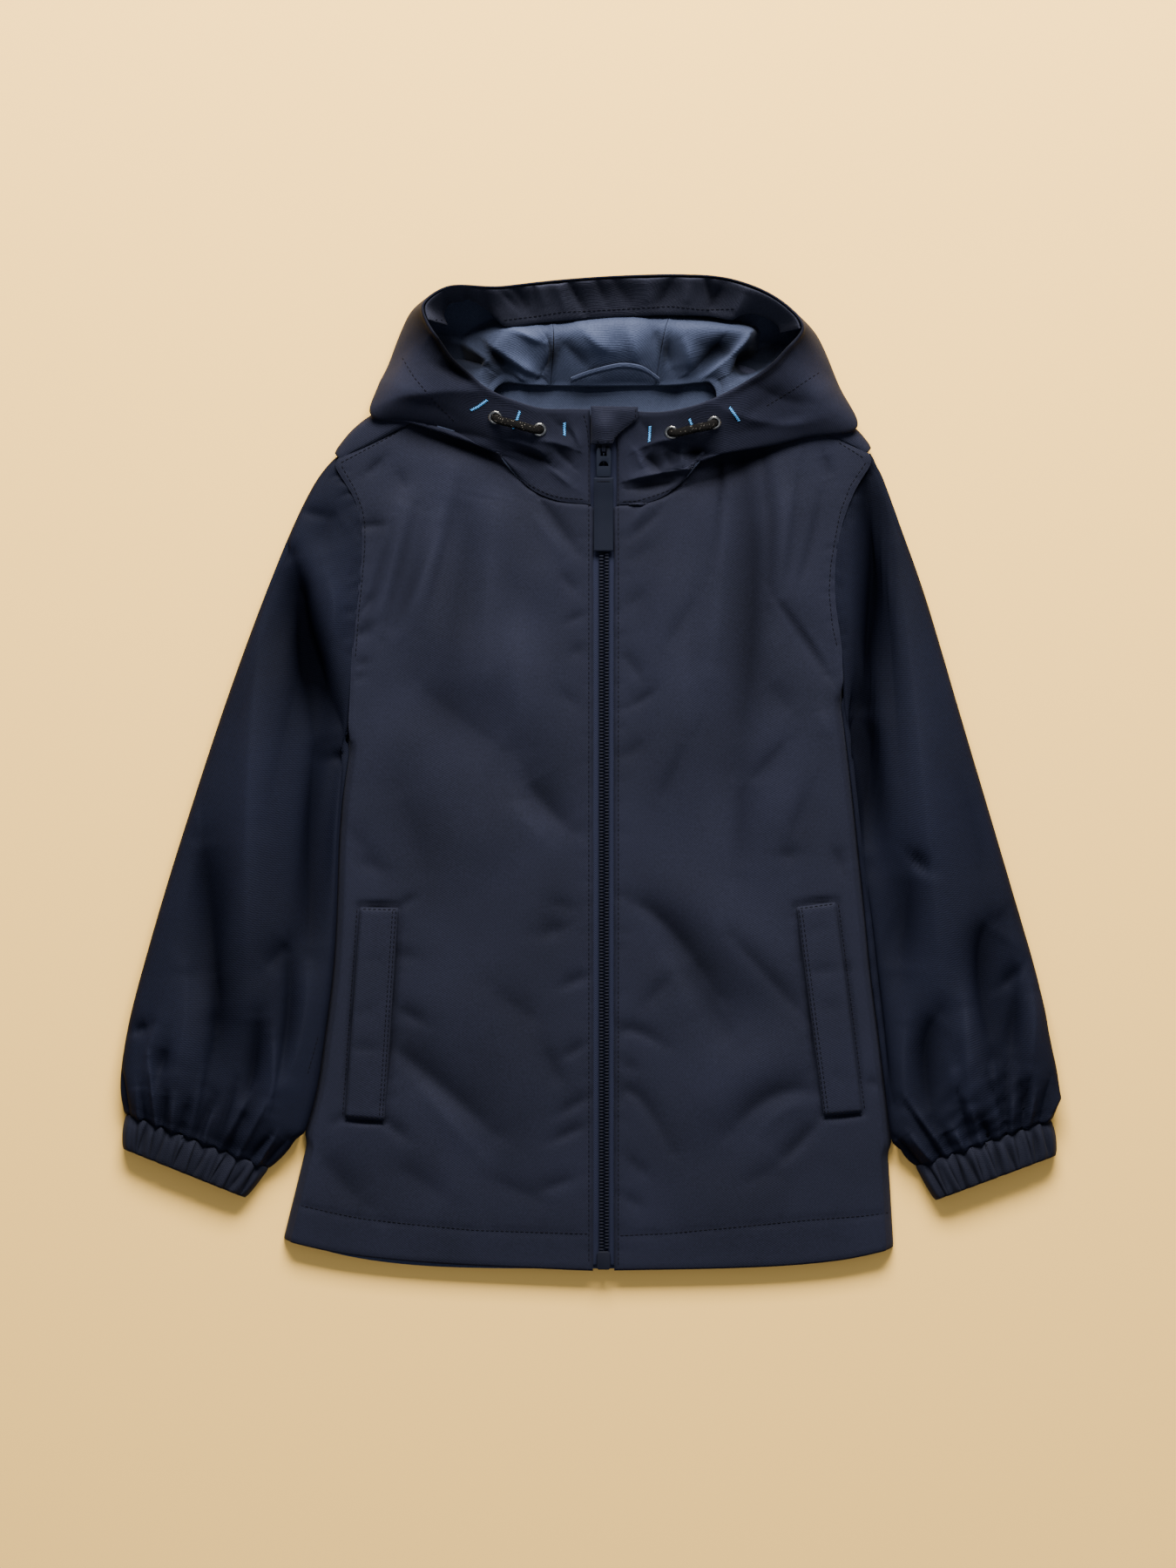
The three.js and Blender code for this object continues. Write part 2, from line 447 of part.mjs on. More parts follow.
// Ends of the back at the top, from the left armhole to the right one
const BACK_TOP = [
  { x: -150.6, y: 186 },
  { x: -140, y: 197 },
  { x: -124, y: 208.4 },
  { x: -104, y: 221.6 },
  { x: -84, y: 231.6 },
  { x: -66, y: 236 },
  { x: -52, y: 236.4 },
  { x: -30, y: 235.8 },
  { x: 8.4, y: 235.4 },
  { x: 46, y: 235.8 },
  { x: 68, y: 236.6 },
  { x: 84, y: 237 },
  { x: 100, y: 232.6 },
  { x: 120, y: 221.8 },
  { x: 140, y: 210.4 },
  { x: 157, y: 199.6 },
  { x: 165.6, y: 187 },
];
function backGrid() {
  const rows = [];
  for (let i = 0; i <= BACK_ROWS; i += 1) {
    const up = i / BACK_ROWS;
    const points = [];
    for (let j = 0; j <= BACK_COLUMNS; j += 1) {
      const across = j / BACK_COLUMNS;
      const top = rowAt(BACK_TOP, across * (BACK_TOP.length - 1));
      const hem = HEM_Y + 1 + 19 * (2 * across - 1) ** 4;
      const y = mix(hem, top.y, up);
      const left = backEdge(LEFT_FRONT, y) + BACK_INSET;
      const right = backEdge(RIGHT_FRONT, y) - BACK_INSET;
      const topLeft = backEdge(LEFT_FRONT, BACK_SIDE_TOP) + BACK_INSET;
      const topRight = backEdge(RIGHT_FRONT, BACK_SIDE_TOP) - BACK_INSET;
      const topShare = (top.x - topLeft) / (topRight - topLeft);
      const x = mix(left, right, mix(across, topShare, smooth((y - 60) / 110)));
      const inNeck = smooth((x + 58) / 14) * smooth((75 - x) / 14);
      const z = WALL / 2 + inNeck * NECK_RISE * smooth((y - 216) / 20);
      points.push(new THREE.Vector3(x, y, z));
    }
    rows.push(points);
  }
  return rows;
}
addCloth('back_panel', backGrid(), shellCloth);

// The back's shoulder ends come up over the shoulder fold and meet the fronts at the seam
const SHOULDER_STEPS = 2;
const SHOULDER_DEPTH = 4.5;
const SHOULDER_TURN = 5;
function seamYAt(front, x) {
  const edge = front.map((row) => row[0]).filter((p) => p.y > 180);
  const found = edge.findIndex((p, k) => k === edge.length - 2 || (x - p.x) * (x - edge[k + 1].x) <= 0);
  const [a, b] = [edge[found], edge[found + 1]];
  return mix(a.y, b.y, (x - a.x) / (b.x - a.x));
}
function shoulderGrid(table, front) {
  const rows = [];
  for (let i = 0; i <= (table.length - 1) * SHOULDER_STEPS; i += 1) {
    const row = rowAt(table, i / SHOULDER_STEPS);
    row.sy = seamYAt(front, row.sx) + 2 * HALF_GAP;
    const long = Math.hypot(row.sx - row.fx, row.sy - row.fy);
    const inX = (row.sx - row.fx) / long;
    const inY = (row.sy - row.fy) / long;
    const radius = (CLOTH_MID_Z - WALL / 2) / 2;
    const depth = Math.min(SHOULDER_DEPTH, long * 0.55);
    const place = (away, z) => new THREE.Vector3(row.fx + inX * away, row.fy + inY * away, z);
    const points = [place(Math.min(SHOULDER_FOOT, long - 1), WALL / 2)];
    for (let k = 0; k <= SHOULDER_TURN; k += 1) {
      const angle = -Math.PI / 2 + Math.PI * k / SHOULDER_TURN;
      const away = WALL / 2 + depth * (1 - Math.cos(angle));
      points.push(place(away, WALL / 2 + radius * (1 + Math.sin(angle))));
    }
    points.push(place(long, CLOTH_MID_Z));
    rows.push(points);
  }
  return rows;
}
addCloth('back_shoulder_left', shoulderGrid(LEFT_SHOULDER, leftFront), shellCloth);
addCloth('back_shoulder_right', shoulderGrid(RIGHT_SHOULDER, rightFront), shellCloth);

// A sleeve or a cuff is a tube with a flat foot, round at both edges
const SLEEVE_STEPS = 2;
const TUBE_TOP_POINTS = 15;
const EDGE_POWER = 3.2;
const FOOT_POWER = 9;
function tubeRing(planAt, topAt, wall) {
  const ring = [];
  const last = TUBE_TOP_POINTS - 1;
  const put = (share, isTop) => {
    const across = (1 - Math.cos(Math.PI * share)) / 2;
    const far = Math.abs(2 * across - 1);
    const top = topAt(across) - wall / 2;
    const edgeZ = Math.max(top * 0.42, wall / 2);
    const lift = (1 - far ** EDGE_POWER) ** (1 / EDGE_POWER);
    const drop = (1 - far ** FOOT_POWER) ** (1 / FOOT_POWER);
    const z = isTop ? mix(edgeZ, top, lift) : mix(edgeZ, wall / 2, drop);
    const p = planAt(across);
    ring.push(new THREE.Vector3(p.x, p.y, z));
  };
  for (let k = 0; k <= last; k += 1) put(k / last, true);
  for (let k = last - 2; k >= 2; k -= 2) put(k / last, false);
  return ring;
}

const SLEEVE_GATHERS = 9;
function sleeveGrid(table, front, folds, side) {
  const armhole = armholeCurve(front);
  const rows = [];
  const count = (table.length - 1) * SLEEVE_STEPS;
  for (let i = 0; i <= count; i += 1) {
    const along = i / count;
    const row = rowAt(table, i / SLEEVE_STEPS);
    const first = table[0];
    const curved = Math.max(0, 1 - along * 5) ** 2;
    const edgeIn = WALL / 2;
    const planAt = (across) => {
      const seam = armhole.getPoint(across);
      const chordX = mix(first.ox, first.ix, across);
      const chordY = mix(first.oy, first.iy, across);
      const ends = Math.sin(Math.PI * across) ** 0.5;
      const inward = side * (across < 0.5 ? edgeIn : -edgeIn) * Math.abs(2 * across - 1);
      const seamX = (seam.x - side * HALF_GAP - chordX) * ends * curved;
      const seamY = (seam.y - chordY) * ends * curved;
      return { x: mix(row.ox, row.ix, across) + inward + seamX, y: mix(row.oy, row.iy, across) + seamY };
    };
    const topAt = (across) => {
      const seam = planAt(across);
      const trough = row.trough * Math.exp(-(((across - 0.86) / 0.12) ** 2));
      const rise = foldRise(folds, along, across, ['t1', 'w1', 't2', 'w2']);
      const gather = smooth((along - 0.84) / 0.16) * 1.1 * Math.cos(2 * Math.PI * SLEEVE_GATHERS * across);
      const own = row.top - trough + rise + gather * Math.sin(Math.PI * across);
      const seamTop = frontMid(seam.x, seam.y) + WALL / 2;
      return mix(seamTop, own, smooth(along / 0.12));
    };
    rows.push(tubeRing(planAt, topAt, WALL));
  }
  return rows;
}
addCloth('sleeve_left', sleeveGrid(LEFT_SLEEVE, LEFT_FRONT, LEFT_SLEEVE_FOLDS, 1), shellCloth, { wrap: true });
addCloth('sleeve_right', sleeveGrid(RIGHT_SLEEVE, RIGHT_FRONT, RIGHT_SLEEVE_FOLDS, -1), shellCloth, { wrap: true });

// A cuff: the same tube, close ribbed on top where its elastic gathers it
const CUFF_STEPS = 1;
const CUFF_COLUMNS = CUFF_RIBS * 4;
function cuffGrid(table, side) {
  const rows = [];
  for (let i = 0; i <= (table.length - 1) * CUFF_STEPS; i += 1) {
    const row = rowAt(table, i / CUFF_STEPS);
    const ring = [];
    const top = row.top - WALL / 2;
    const edgeZ = top * 0.45;
    const put = (across, isTop) => {
      const far = Math.abs(2 * across - 1);
      const lift = (1 - far ** 4) ** 0.25;
      const rib = CUFF_RIB_HEIGHT * Math.cos(2 * Math.PI * CUFF_RIBS * across) * smooth((1 - far) * 8);
      const z = isTop ? mix(edgeZ, top + rib, lift) : mix(edgeZ, WALL / 2, (1 - far ** 12) ** (1 / 12));
      const x = mix(row.ox + side * WALL / 2, row.ix - side * WALL / 2, across);
      ring.push(new THREE.Vector3(x, mix(row.oy, row.iy, across), z));
    };
    for (let k = 0; k <= CUFF_COLUMNS; k += 1) {
      const even = k / CUFF_COLUMNS;
      put(even + 0.012 * Math.sin(2 * Math.PI * even * 3) * (i + 1) / 3, true);
    }
    for (const across of [0.985, 0.93, 0.75, 0.5, 0.25, 0.07, 0.015]) put(across, false);
    rows.push(ring);
  }
  return rows;
}
addCloth('cuff_left', cuffGrid(LEFT_CUFF, 1), cuffCloth, { wrap: true });
addCloth('cuff_right', cuffGrid(RIGHT_CUFF, -1), cuffCloth, { wrap: true });

// The hood: each section is a smooth curve from the neck seam to the rim
const HOOD_WALL = 1.2;
const HOOD_STEPS = 2;
const PROFILE_STEPS = 3;
function hoodProfile(place) {
  const row = rowAt(HOOD, place);
  const knots = [row.n, row.a, row.b, row.d, row.r].map((p) => ({ p }));
  const points = [];
  for (let k = 0; k <= (knots.length - 1) * PROFILE_STEPS; k += 1) {
    const { p } = rowAt(knots, k / PROFILE_STEPS);
    points.push(new THREE.Vector3(p[0], p[1], Math.max(p[2], HOOD_WALL / 2)));
  }
  return points;
}
function hoodGrid(first, last) {
  const rows = [];
  const gap = SEAM_GAP / 2;
  for (let i = first * HOOD_STEPS; i <= last * HOOD_STEPS; i += 1) {
    const atStart = i === first * HOOD_STEPS && first > 0;
    const atEnd = i === last * HOOD_STEPS && last < HOOD.length - 1;
    const points = hoodProfile(i / HOOD_STEPS);
    if (atStart || atEnd) {
      const next = hoodProfile((i + (atStart ? 1 : -1)) / HOOD_STEPS);
      points.forEach((p, k) => {
        const step = next[k].clone().sub(p);
        p.addScaledVector(step, Math.min(gap / step.length(), 0.4));
      });
    }
    rows.push(points);
  }
  return rows;
}
const seams = HOOD.map((row, k) => (row.seam ? k : -1)).filter((k) => k > 0);
const hoodLeft = hoodGrid(0, seams[0]);
const hoodCentre = hoodGrid(seams[0], seams[1]);
const hoodRight = hoodGrid(seams[1], HOOD.length - 1);
addCloth('hood_side_left', hoodLeft, shellCloth, { wall: HOOD_WALL });
addCloth('hood_centre', hoodCentre, hoodInsideCloth, { wall: HOOD_WALL });
addCloth('hood_side_right', hoodRight, shellCloth, { wall: HOOD_WALL });

// The facing turned inside the brow
const FACING_DROP = 15;
const FACING_COLUMNS = 3;
function facingGrid() {
  const rows = [];
  for (let i = FACING_FIRST * HOOD_STEPS; i <= FACING_LAST * HOOD_STEPS; i += 1) {
    const { r } = rowAt(HOOD, i / HOOD_STEPS);
    const toX = OPENING_CENTRE[0] - r[0];
    const toY = OPENING_CENTRE[1] - r[1];
    const steep = smooth((Math.abs(r[0] - OPENING_CENTRE[0]) - 70) / 50);
    const brow = 1 - steep;
    const long = Math.hypot(toX * (1 - 0.86 * brow), toY);
    const inX = toX * (1 - 0.86 * brow) / long;
    const inY = toY / long;
    const points = [];
    for (let k = 0; k <= FACING_COLUMNS; k += 1) {
      const share = k / FACING_COLUMNS;
      const away = HOOD_WALL + 3 * SEAM_GAP + mix(FACING_WIDTH, FACING_WIDTH * 0.5, steep) * share;
      const z = r[2] - 1 - FACING_DROP * share ** 0.8 - 3 * steep * share;
      points.push(new THREE.Vector3(r[0] + inX * away, r[1] + inY * away, z));
    }
    rows.push(points);
  }
  return rows;
}
addCloth('hood_facing', facingGrid(), hoodInsideCloth, { wall: HOOD_WALL });

// The highest point of some grids over a place, with the way out of the cloth there
function clothOver(grids, x, y) {
  const down = new THREE.Ray(new THREE.Vector3(x, y, 200), new THREE.Vector3(0, 0, -1));
  let best = null;
  for (const grid of grids) {
    for (let i = 0; i < grid.length - 1; i += 1) {
      for (let j = 0; j < grid[0].length - 1; j += 1) {
        const [a, b, c, d] = [grid[i][j], grid[i][j + 1], grid[i + 1][j + 1], grid[i + 1][j]];
        for (const [p, q, r] of [[a, b, c], [a, c, d]]) {
          const hit = down.intersectTriangle(p, q, r, false, new THREE.Vector3());
          if (hit && (!best || hit.z > best.point.z)) {
            const out = q.clone().sub(p).cross(r.clone().sub(p)).normalize();
            if (out.z < 0) out.negate();
            best = { point: hit, out };
          }
        }
      }
    }
  }
  return best;
}

// Pocket welts: strips made from the front's surface, moved out
const WELT_ROWS = 12;
const WELT_COLUMNS = 3;
function addWelt(name, welt, front) {
  const grid = [];
  for (let i = 0; i <= WELT_ROWS; i += 1) {
    const down = i / WELT_ROWS;
    const row = [];
    for (let j = 0; j <= WELT_COLUMNS; j += 1) {
      const across = j / WELT_COLUMNS;
      const x = mix(mix(welt.outTop[0], welt.inTop[0], across), mix(welt.outEnd[0], welt.inEnd[0], across), down);
      const y = mix(mix(welt.outTop[1], welt.inTop[1], across), mix(welt.outEnd[1], welt.inEnd[1], across), down);
      const { point } = clothOver([front], x, y);
      const gape = WELT_RISE * (1 - across) * Math.sin(Math.PI * down);
      row.push(point.add(new THREE.Vector3(0, 0, gape)));
    }
    grid.push(row);
  }
  addCloth(name, movedOut(grid, WALL / 2 + 0.45 + WELT_WALL / 2), shellCloth, { wall: WELT_WALL });
}
addWelt('pocket_welt_left', LEFT_WELT, leftFront);
addWelt('pocket_welt_right', RIGHT_WELT, rightFront);

// The zip: two tapes under the fronts, the closed chain, the end box and the slider
const TAPE_WALL = 1;
const TAPE_GAP = 0.5;
// Places along the zip: few where it is straight, close together at the hem and the collar
const ZIP_PLACES = [-300, -290, -276, -262, -200, -120, -40, 40, 100, 148, 158, 166, 173, 180, 187, 194, 201, 208, 218];
function tapeGrid(inner, outer) {
  const rows = [];
  for (const y of ZIP_PLACES) {
    const z = centreMid(y) - WALL / 2 - 0.5 - TAPE_WALL / 2;
    rows.push([inner, outer].map((x) => new THREE.Vector3(x, y, z)));
  }
  return rows;
}
const tapeOut = PLACKET_HALF + TAPE_REACH;
addCloth('zip_tape_left', tapeGrid(ZIP_X - tapeOut, ZIP_X - TAPE_GAP / 2), zipTapeCloth, { wall: TAPE_WALL });
addCloth('zip_tape_right', tapeGrid(ZIP_X + TAPE_GAP / 2, ZIP_X + tapeOut), zipTapeCloth, { wall: TAPE_WALL });

const CHAIN_HEIGHT = 2;
const CHAIN_LOW_Y = -290;
const CHAIN_TOP_Y = 194;
const CHAIN_FOOT = -0.9;
function chainGrid() {
  const rows = [];
  for (const y of ZIP_PLACES.filter((place) => place >= CHAIN_LOW_Y && place <= CHAIN_TOP_Y)) {
    const z = centreMid(y) + CHAIN_FOOT;
    const half = CHAIN_WIDTH / 2;
    const section = [
      [-half, 0.3], [-half + 0.6, CHAIN_HEIGHT - 0.4], [-0.9, CHAIN_HEIGHT], [0.9, CHAIN_HEIGHT],
      [half - 0.6, CHAIN_HEIGHT - 0.4], [half, 0.3],
    ];
    rows.push(section.map(([dx, dz]) => new THREE.Vector3(ZIP_X + dx, y, z + dz)));
  }
  return rows;
}
const chainTop = chainGrid();
const chainFoot = chainTop.map((row) => row.map((p) => new THREE.Vector3(p.x, p.y, centreMid(p.y) + CHAIN_FOOT)));
addMesh(body, 'zip_chain', closedBody(chainTop, chainFoot, false), toothPlastic);

// A flat plate from an outline in X and Y, with soft edges
function plate(outline, height, bevel, holes = []) {
  const shape = new THREE.Shape(outline.map(([x, y]) => new THREE.Vector2(x, y)));
  for (const hole of holes) shape.holes.push(new THREE.Path(hole.map(([x, y]) => new THREE.Vector2(x, y))));
  return new THREE.ExtrudeGeometry(shape, {
    depth: height - 2 * bevel,
    bevelEnabled: bevel > 0,
    bevelThickness: bevel,
    bevelSize: bevel,
    bevelOffset: -bevel,
    bevelSegments: 1,
    curveSegments: 6,
  }).translate(0, 0, bevel);
}

const END_BOX = { half: 4.2, low: -301.6, high: -290.4, height: 3 };
const endBox = plate([
  [-END_BOX.half, END_BOX.low + 1], [-END_BOX.half + 1, END_BOX.low], [END_BOX.half - 1, END_BOX.low],
  [END_BOX.half, END_BOX.low + 1], [END_BOX.half, END_BOX.high - 1.5], [END_BOX.half - 1.5, END_BOX.high],
  [-END_BOX.half + 1.5, END_BOX.high], [-END_BOX.half, END_BOX.high - 1.5],
], END_BOX.height, 0.4);
addMesh(body, 'zip_end_box', endBox, toothPlastic).position.set(ZIP_X, 0, centreMid(END_BOX.high) - 0.9);

// The slider stands on the collar's slope: a body and a bail that holds the pull's bar
const SLIDER_Y = 202;
const SLIDER_SLOPE = Math.atan((centreMid(209) - centreMid(195)) / 14);
const SLIDER_FOOT = -0.6;
const SLIDER_BODY = { half: 4.8, low: -6.6, high: 6.4, height: 3 };
const BAIL = { half: 1.2, low: -6, high: 4.6, wall: 0.9, room: 2.15 };
const BAR_RADIUS = 0.7;
const PIVOT = { y: -3.6, z: SLIDER_BODY.height + 1.15 };

// A bar through X from a profile in Y and Z
function barAlongX(profile, half) {
  const shape = new THREE.Shape(profile.map(([y, z]) => new THREE.Vector2(y, z)));
  const bar = new THREE.ExtrudeGeometry(shape, { depth: 2 * half, bevelEnabled: false });
  return bar.applyMatrix4(new THREE.Matrix4().set(0, 0, 1, -half, 1, 0, 0, 0, 0, 1, 0, 0, 0, 0, 0, 1));
}
const wasm = await Module();
wasm.setup();
function toSolid(geometry) {
  const bare = geometry.clone();
  bare.deleteAttribute('normal');
  bare.deleteAttribute('uv');
  const merged = mergeVertices(bare, 1e-4);
  return new wasm.Manifold(new wasm.Mesh({
    numProp: 3,
    vertProperties: new Float32Array(merged.attributes.position.array),
    triVerts: new Uint32Array(merged.index.array),
  }));
}
function toGeometry(solid) {
  const mesh = solid.getMesh();
  const geometry = new THREE.BufferGeometry();
  geometry.setAttribute('position', new THREE.BufferAttribute(new Float32Array(mesh.vertProperties), 3));
  geometry.setIndex(new THREE.BufferAttribute(new Uint32Array(mesh.triVerts), 1));
  geometry.computeVertexNormals();
  return geometry;
}
const { low, high, height, half } = SLIDER_BODY;
const bodyOutline = [
  [-half, low + 1.6], [-half + 1.2, low], [half - 1.2, low], [half, low + 1.6],
  [half, high - 3], [half - 2.2, high], [-half + 2.2, high], [-half, high - 3],
];
const sliderBase = toSolid(plate(bodyOutline, height, 0.5));
const bailTop = height + BAIL.room + BAIL.wall;
const bailSolid = toSolid(barAlongX([
  [BAIL.low, height - 0.4], [BAIL.high, height - 0.4], [BAIL.high - 1.4, bailTop - 0.3], [BAIL.high - 2.2, bailTop],
  [BAIL.low + 1, bailTop], [BAIL.low, bailTop - 0.8],
], BAIL.half));
const bailRoom = toSolid(barAlongX([
  [BAIL.low + BAIL.wall, height + 0.2], [BAIL.high - 1.6, height + 0.2],
  [BAIL.high - 2.6, height + BAIL.room], [BAIL.low + BAIL.wall, height + BAIL.room],
], BAIL.half + 1));
const sliderGroup = new THREE.Group();
sliderGroup.position.set(ZIP_X, SLIDER_Y, centreMid(SLIDER_Y) + SLIDER_FOOT);
sliderGroup.rotation.x = SLIDER_SLOPE;
body.add(sliderGroup);
addMesh(sliderGroup, 'zip_slider', toGeometry(sliderBase.add(bailSolid.subtract(bailRoom))), toothPlastic);

// The plastic pull tab: a bar under the bail, two arms and a plate with a half-moon slot
const pullGroup = new THREE.Group();
pullGroup.position.copy(sliderGroup.position);
pullGroup.rotation.x = SLIDER_SLOPE;
zipPull.add(pullGroup);
const TAB = { half: 4.6, plateTop: -4.6, foot: -17.4, height: 1.6, armIn: 1.9 };
const SLOT = { half: 3, top: -7.4, depth: 3.4 };
const tabOutline = [
  [-TAB.half + 1.2, 0.7], [TAB.half - 1.2, 0.7], [TAB.half - 0.3, -1], [TAB.half, -5], [TAB.half, TAB.foot + 1.4],
  [TAB.half - 1, TAB.foot], [-TAB.half + 1, TAB.foot], [-TAB.half, TAB.foot + 1.4], [-TAB.half, -5],
  [-TAB.half + 0.3, -1],
];
const tabWindow = [
  [-TAB.armIn, 0.7 + 1], [-TAB.armIn, TAB.plateTop], [TAB.armIn, TAB.plateTop], [TAB.armIn, 0.7 + 1],
];
const slot = [];
for (let k = 0; k <= 8; k += 1) {
  const angle = Math.PI * k / 8;
  slot.push([SLOT.half * Math.cos(angle), SLOT.top - SLOT.depth + SLOT.depth * Math.sin(angle)]);
}
const tabPlate = toSolid(plate(tabOutline, TAB.height, 0.3));
const windowCut = toSolid(plate(tabWindow, TAB.height + 2, 0).translate(0, 0, -1));
const slotCut = toSolid(plate(slot, TAB.height + 2, 0).translate(0, 0, -1));
const bar = new THREE.CylinderGeometry(BAR_RADIUS, BAR_RADIUS, 2 * TAB.armIn + 1, 12);
bar.rotateZ(Math.PI / 2).translate(0, 0, TAB.height / 2);
const tabSolid = tabPlate.subtract(windowCut).subtract(slotCut).add(toSolid(bar));
const tab = addMesh(pullGroup, 'zip_pull_tab', toGeometry(tabSolid), pullPlastic);
tab.position.set(0, PIVOT.y, PIVOT.z - TAB.height / 2);

// The woven puller tape lies on the chain below the tab
const PULLER = { half: 5.9, top: 180.2, foot: 135.4, wall: 1.2, rows: 10 };
const pullerGrid = [];
for (let k = 0; k <= PULLER.rows; k += 1) {
  const y = mix(PULLER.foot, PULLER.top, k / PULLER.rows);
  const lifted = 1.3 * smooth((y - 150) / 26);
  const z = centreMid(y) + CHAIN_FOOT + CHAIN_HEIGHT + SEAM_GAP + PULLER.wall / 2 + lifted;
  pullerGrid.push([-1, -0.5, 0.5, 1].map((share) => {
    return new THREE.Vector3(ZIP_X + share * PULLER.half, y, z - 0.2 * share ** 4);
  }));
}
zipPull.add(addCloth('zip_puller_tape', pullerGrid, zipTapeCloth, { wall: PULLER.wall }));

// The chin guard: a small flap from the left collar edge over the slider
const GUARD_ROWS = 9;
const GUARD_COLUMNS = 8;
const GUARD_WALL = 1.2;
function guardGrid() {
  const rows = [];
  for (let i = 0; i <= GUARD_ROWS; i += 1) {
    const up = i / GUARD_ROWS;
    const right = mix(14, 29.2, smooth(up * 1.5));
    const row = [];
    for (let j = 0; j <= GUARD_COLUMNS; j += 1) {
      const across = j / GUARD_COLUMNS;
      const x = mix(0.6, right, across);
      const foot = 200.4 + 3.6 * smooth((x - 12) / 12);
      const y = mix(foot, 223.4 - 0.6 * across, up);
      const bump = Math.cos(Math.PI / 2 * Math.min(Math.abs(x - ZIP_X) / 11, 1)) ** 2;
      const lift = 1.7 + 1.6 * across + 4.9 * bump * (1 - smooth((up - 0.35) / 0.6));
      row.push(new THREE.Vector3(x, y, centreMid(y) + lift + 1.6 * up));
    }
    rows.push(row);
  }
  return rows;
}
addCloth('chin_guard', guardGrid(), shellCloth, { wall: GUARD_WALL });

// The hanger loop stands at the back neck seam
const LOOP = [
  { x: -11.7, y: 237.6, z: 9.6 },
  { x: -4, y: 240.6, z: 12.4 },
  { x: 8, y: 244, z: 16 },
  { x: 20, y: 246, z: 17.6 },
  { x: 31, y: 244.6, z: 16.4 },
  { x: 38, y: 240.8, z: 12.4 },
  { x: 42.4, y: 237.4, z: 9.6 },
];
const LOOP_STEPS = 2;
const LOOP_WIDTH = 4;
const loopGrid = [];
for (let i = 0; i <= (LOOP.length - 1) * LOOP_STEPS; i += 1) {
  const row = rowAt(LOOP, i / LOOP_STEPS);
  loopGrid.push([0, 0.5, 1].map((share) => {
    return new THREE.Vector3(row.x, row.y + 0.8 * LOOP_WIDTH * share, row.z + 0.9 + 0.6 * LOOP_WIDTH * share);
  }));
}
addCloth('hanger_loop', loopGrid, hoodInsideCloth, { wall: 1.2 });

// Eyelets lie on the hood's cloth, and the elastic runs from one into the other
const CLOTH_TOP = HOOD_WALL / 2;
function addEyelet(name, grid, [x, y]) {
  const { point, out } = clothOver([grid], x, y);
  const ring = new THREE.Shape().absarc(0, 0, EYELET_OUTER - 0.3, 0, 2 * Math.PI, false);
  ring.holes.push(new THREE.Path().absarc(0, 0, EYELET_HOLE + 0.3, 0, 2 * Math.PI, true));
  const geometry = new THREE.ExtrudeGeometry(ring, {
    depth: EYELET_HEIGHT - 0.6, bevelThickness: 0.3, bevelSize: 0.3, bevelSegments: 1, curveSegments: 6,
  }).translate(0, 0, 0.3);
  const mesh = addMesh(body, name, geometry, eyeletMetal);
  mesh.position.copy(point).addScaledVector(out, CLOTH_TOP + 2 * SEAM_GAP);
  mesh.quaternion.setFromUnitVectors(new THREE.Vector3(0, 0, 1), out);
  return { point, out };
}
const CORD_SIDES = 8;
// The elastic comes up through one eyelet, over its edge and down into the other
const CORD_RISE = [
  { share: 0, rise: 1.5 },
  { share: 0.02, rise: 2.8 },
  { share: 0.13, rise: 5.0 },
  { share: 0.32, rise: 4.6 },
  { share: 0.5, rise: 4.2 },
  { share: 0.68, rise: 4.6 },
  { share: 0.87, rise: 5.0 },
  { share: 0.98, rise: 2.8 },
  { share: 1, rise: 1.5 },
];
function addCord(name, grid, eyelets) {
  const ends = eyelets.map((place, k) => addEyelet(`eyelet_${name}_${k + 1}`, grid, place));
  const places = CORD_RISE.map(({ share, rise }) => {
    const [from, to] = ends;
    const flat = from.point.clone().lerp(to.point, share);
    const under = clothOver([grid], flat.x, flat.y);
    const out = from.out.clone().lerp(to.out, share).normalize();
    return under.point.clone().addScaledVector(out, rise);
  });
  const section = new THREE.Shape();
  for (let k = 0; k < CORD_SIDES; k += 1) {
    const angle = 2 * Math.PI * k / CORD_SIDES;
    section[k ? 'lineTo' : 'moveTo'](CORD_RADIUS * Math.cos(angle), CORD_RADIUS * Math.sin(angle));
  }
  const geometry = new THREE.ExtrudeGeometry(section, { steps: 14, extrudePath: new THREE.CatmullRomCurve3(places) });
  addMesh(body, `elastic_${name}`, geometry, cordElastic);
}
addCord('left', hoodLeft, LEFT_EYELETS);
addCord('right', hoodRight, RIGHT_EYELETS);

export default coat;
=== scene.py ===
# %% [markdown]
# # A kids raincoat laid flat
# The coat lies on its back on a table, with its sleeves spread down and its hood open upwards.
# Its solids come from CAD. Here each cloth piece becomes a thin soft shell with creases, a weave
# and stitching. We start by loading the solids and keeping the size of their box.

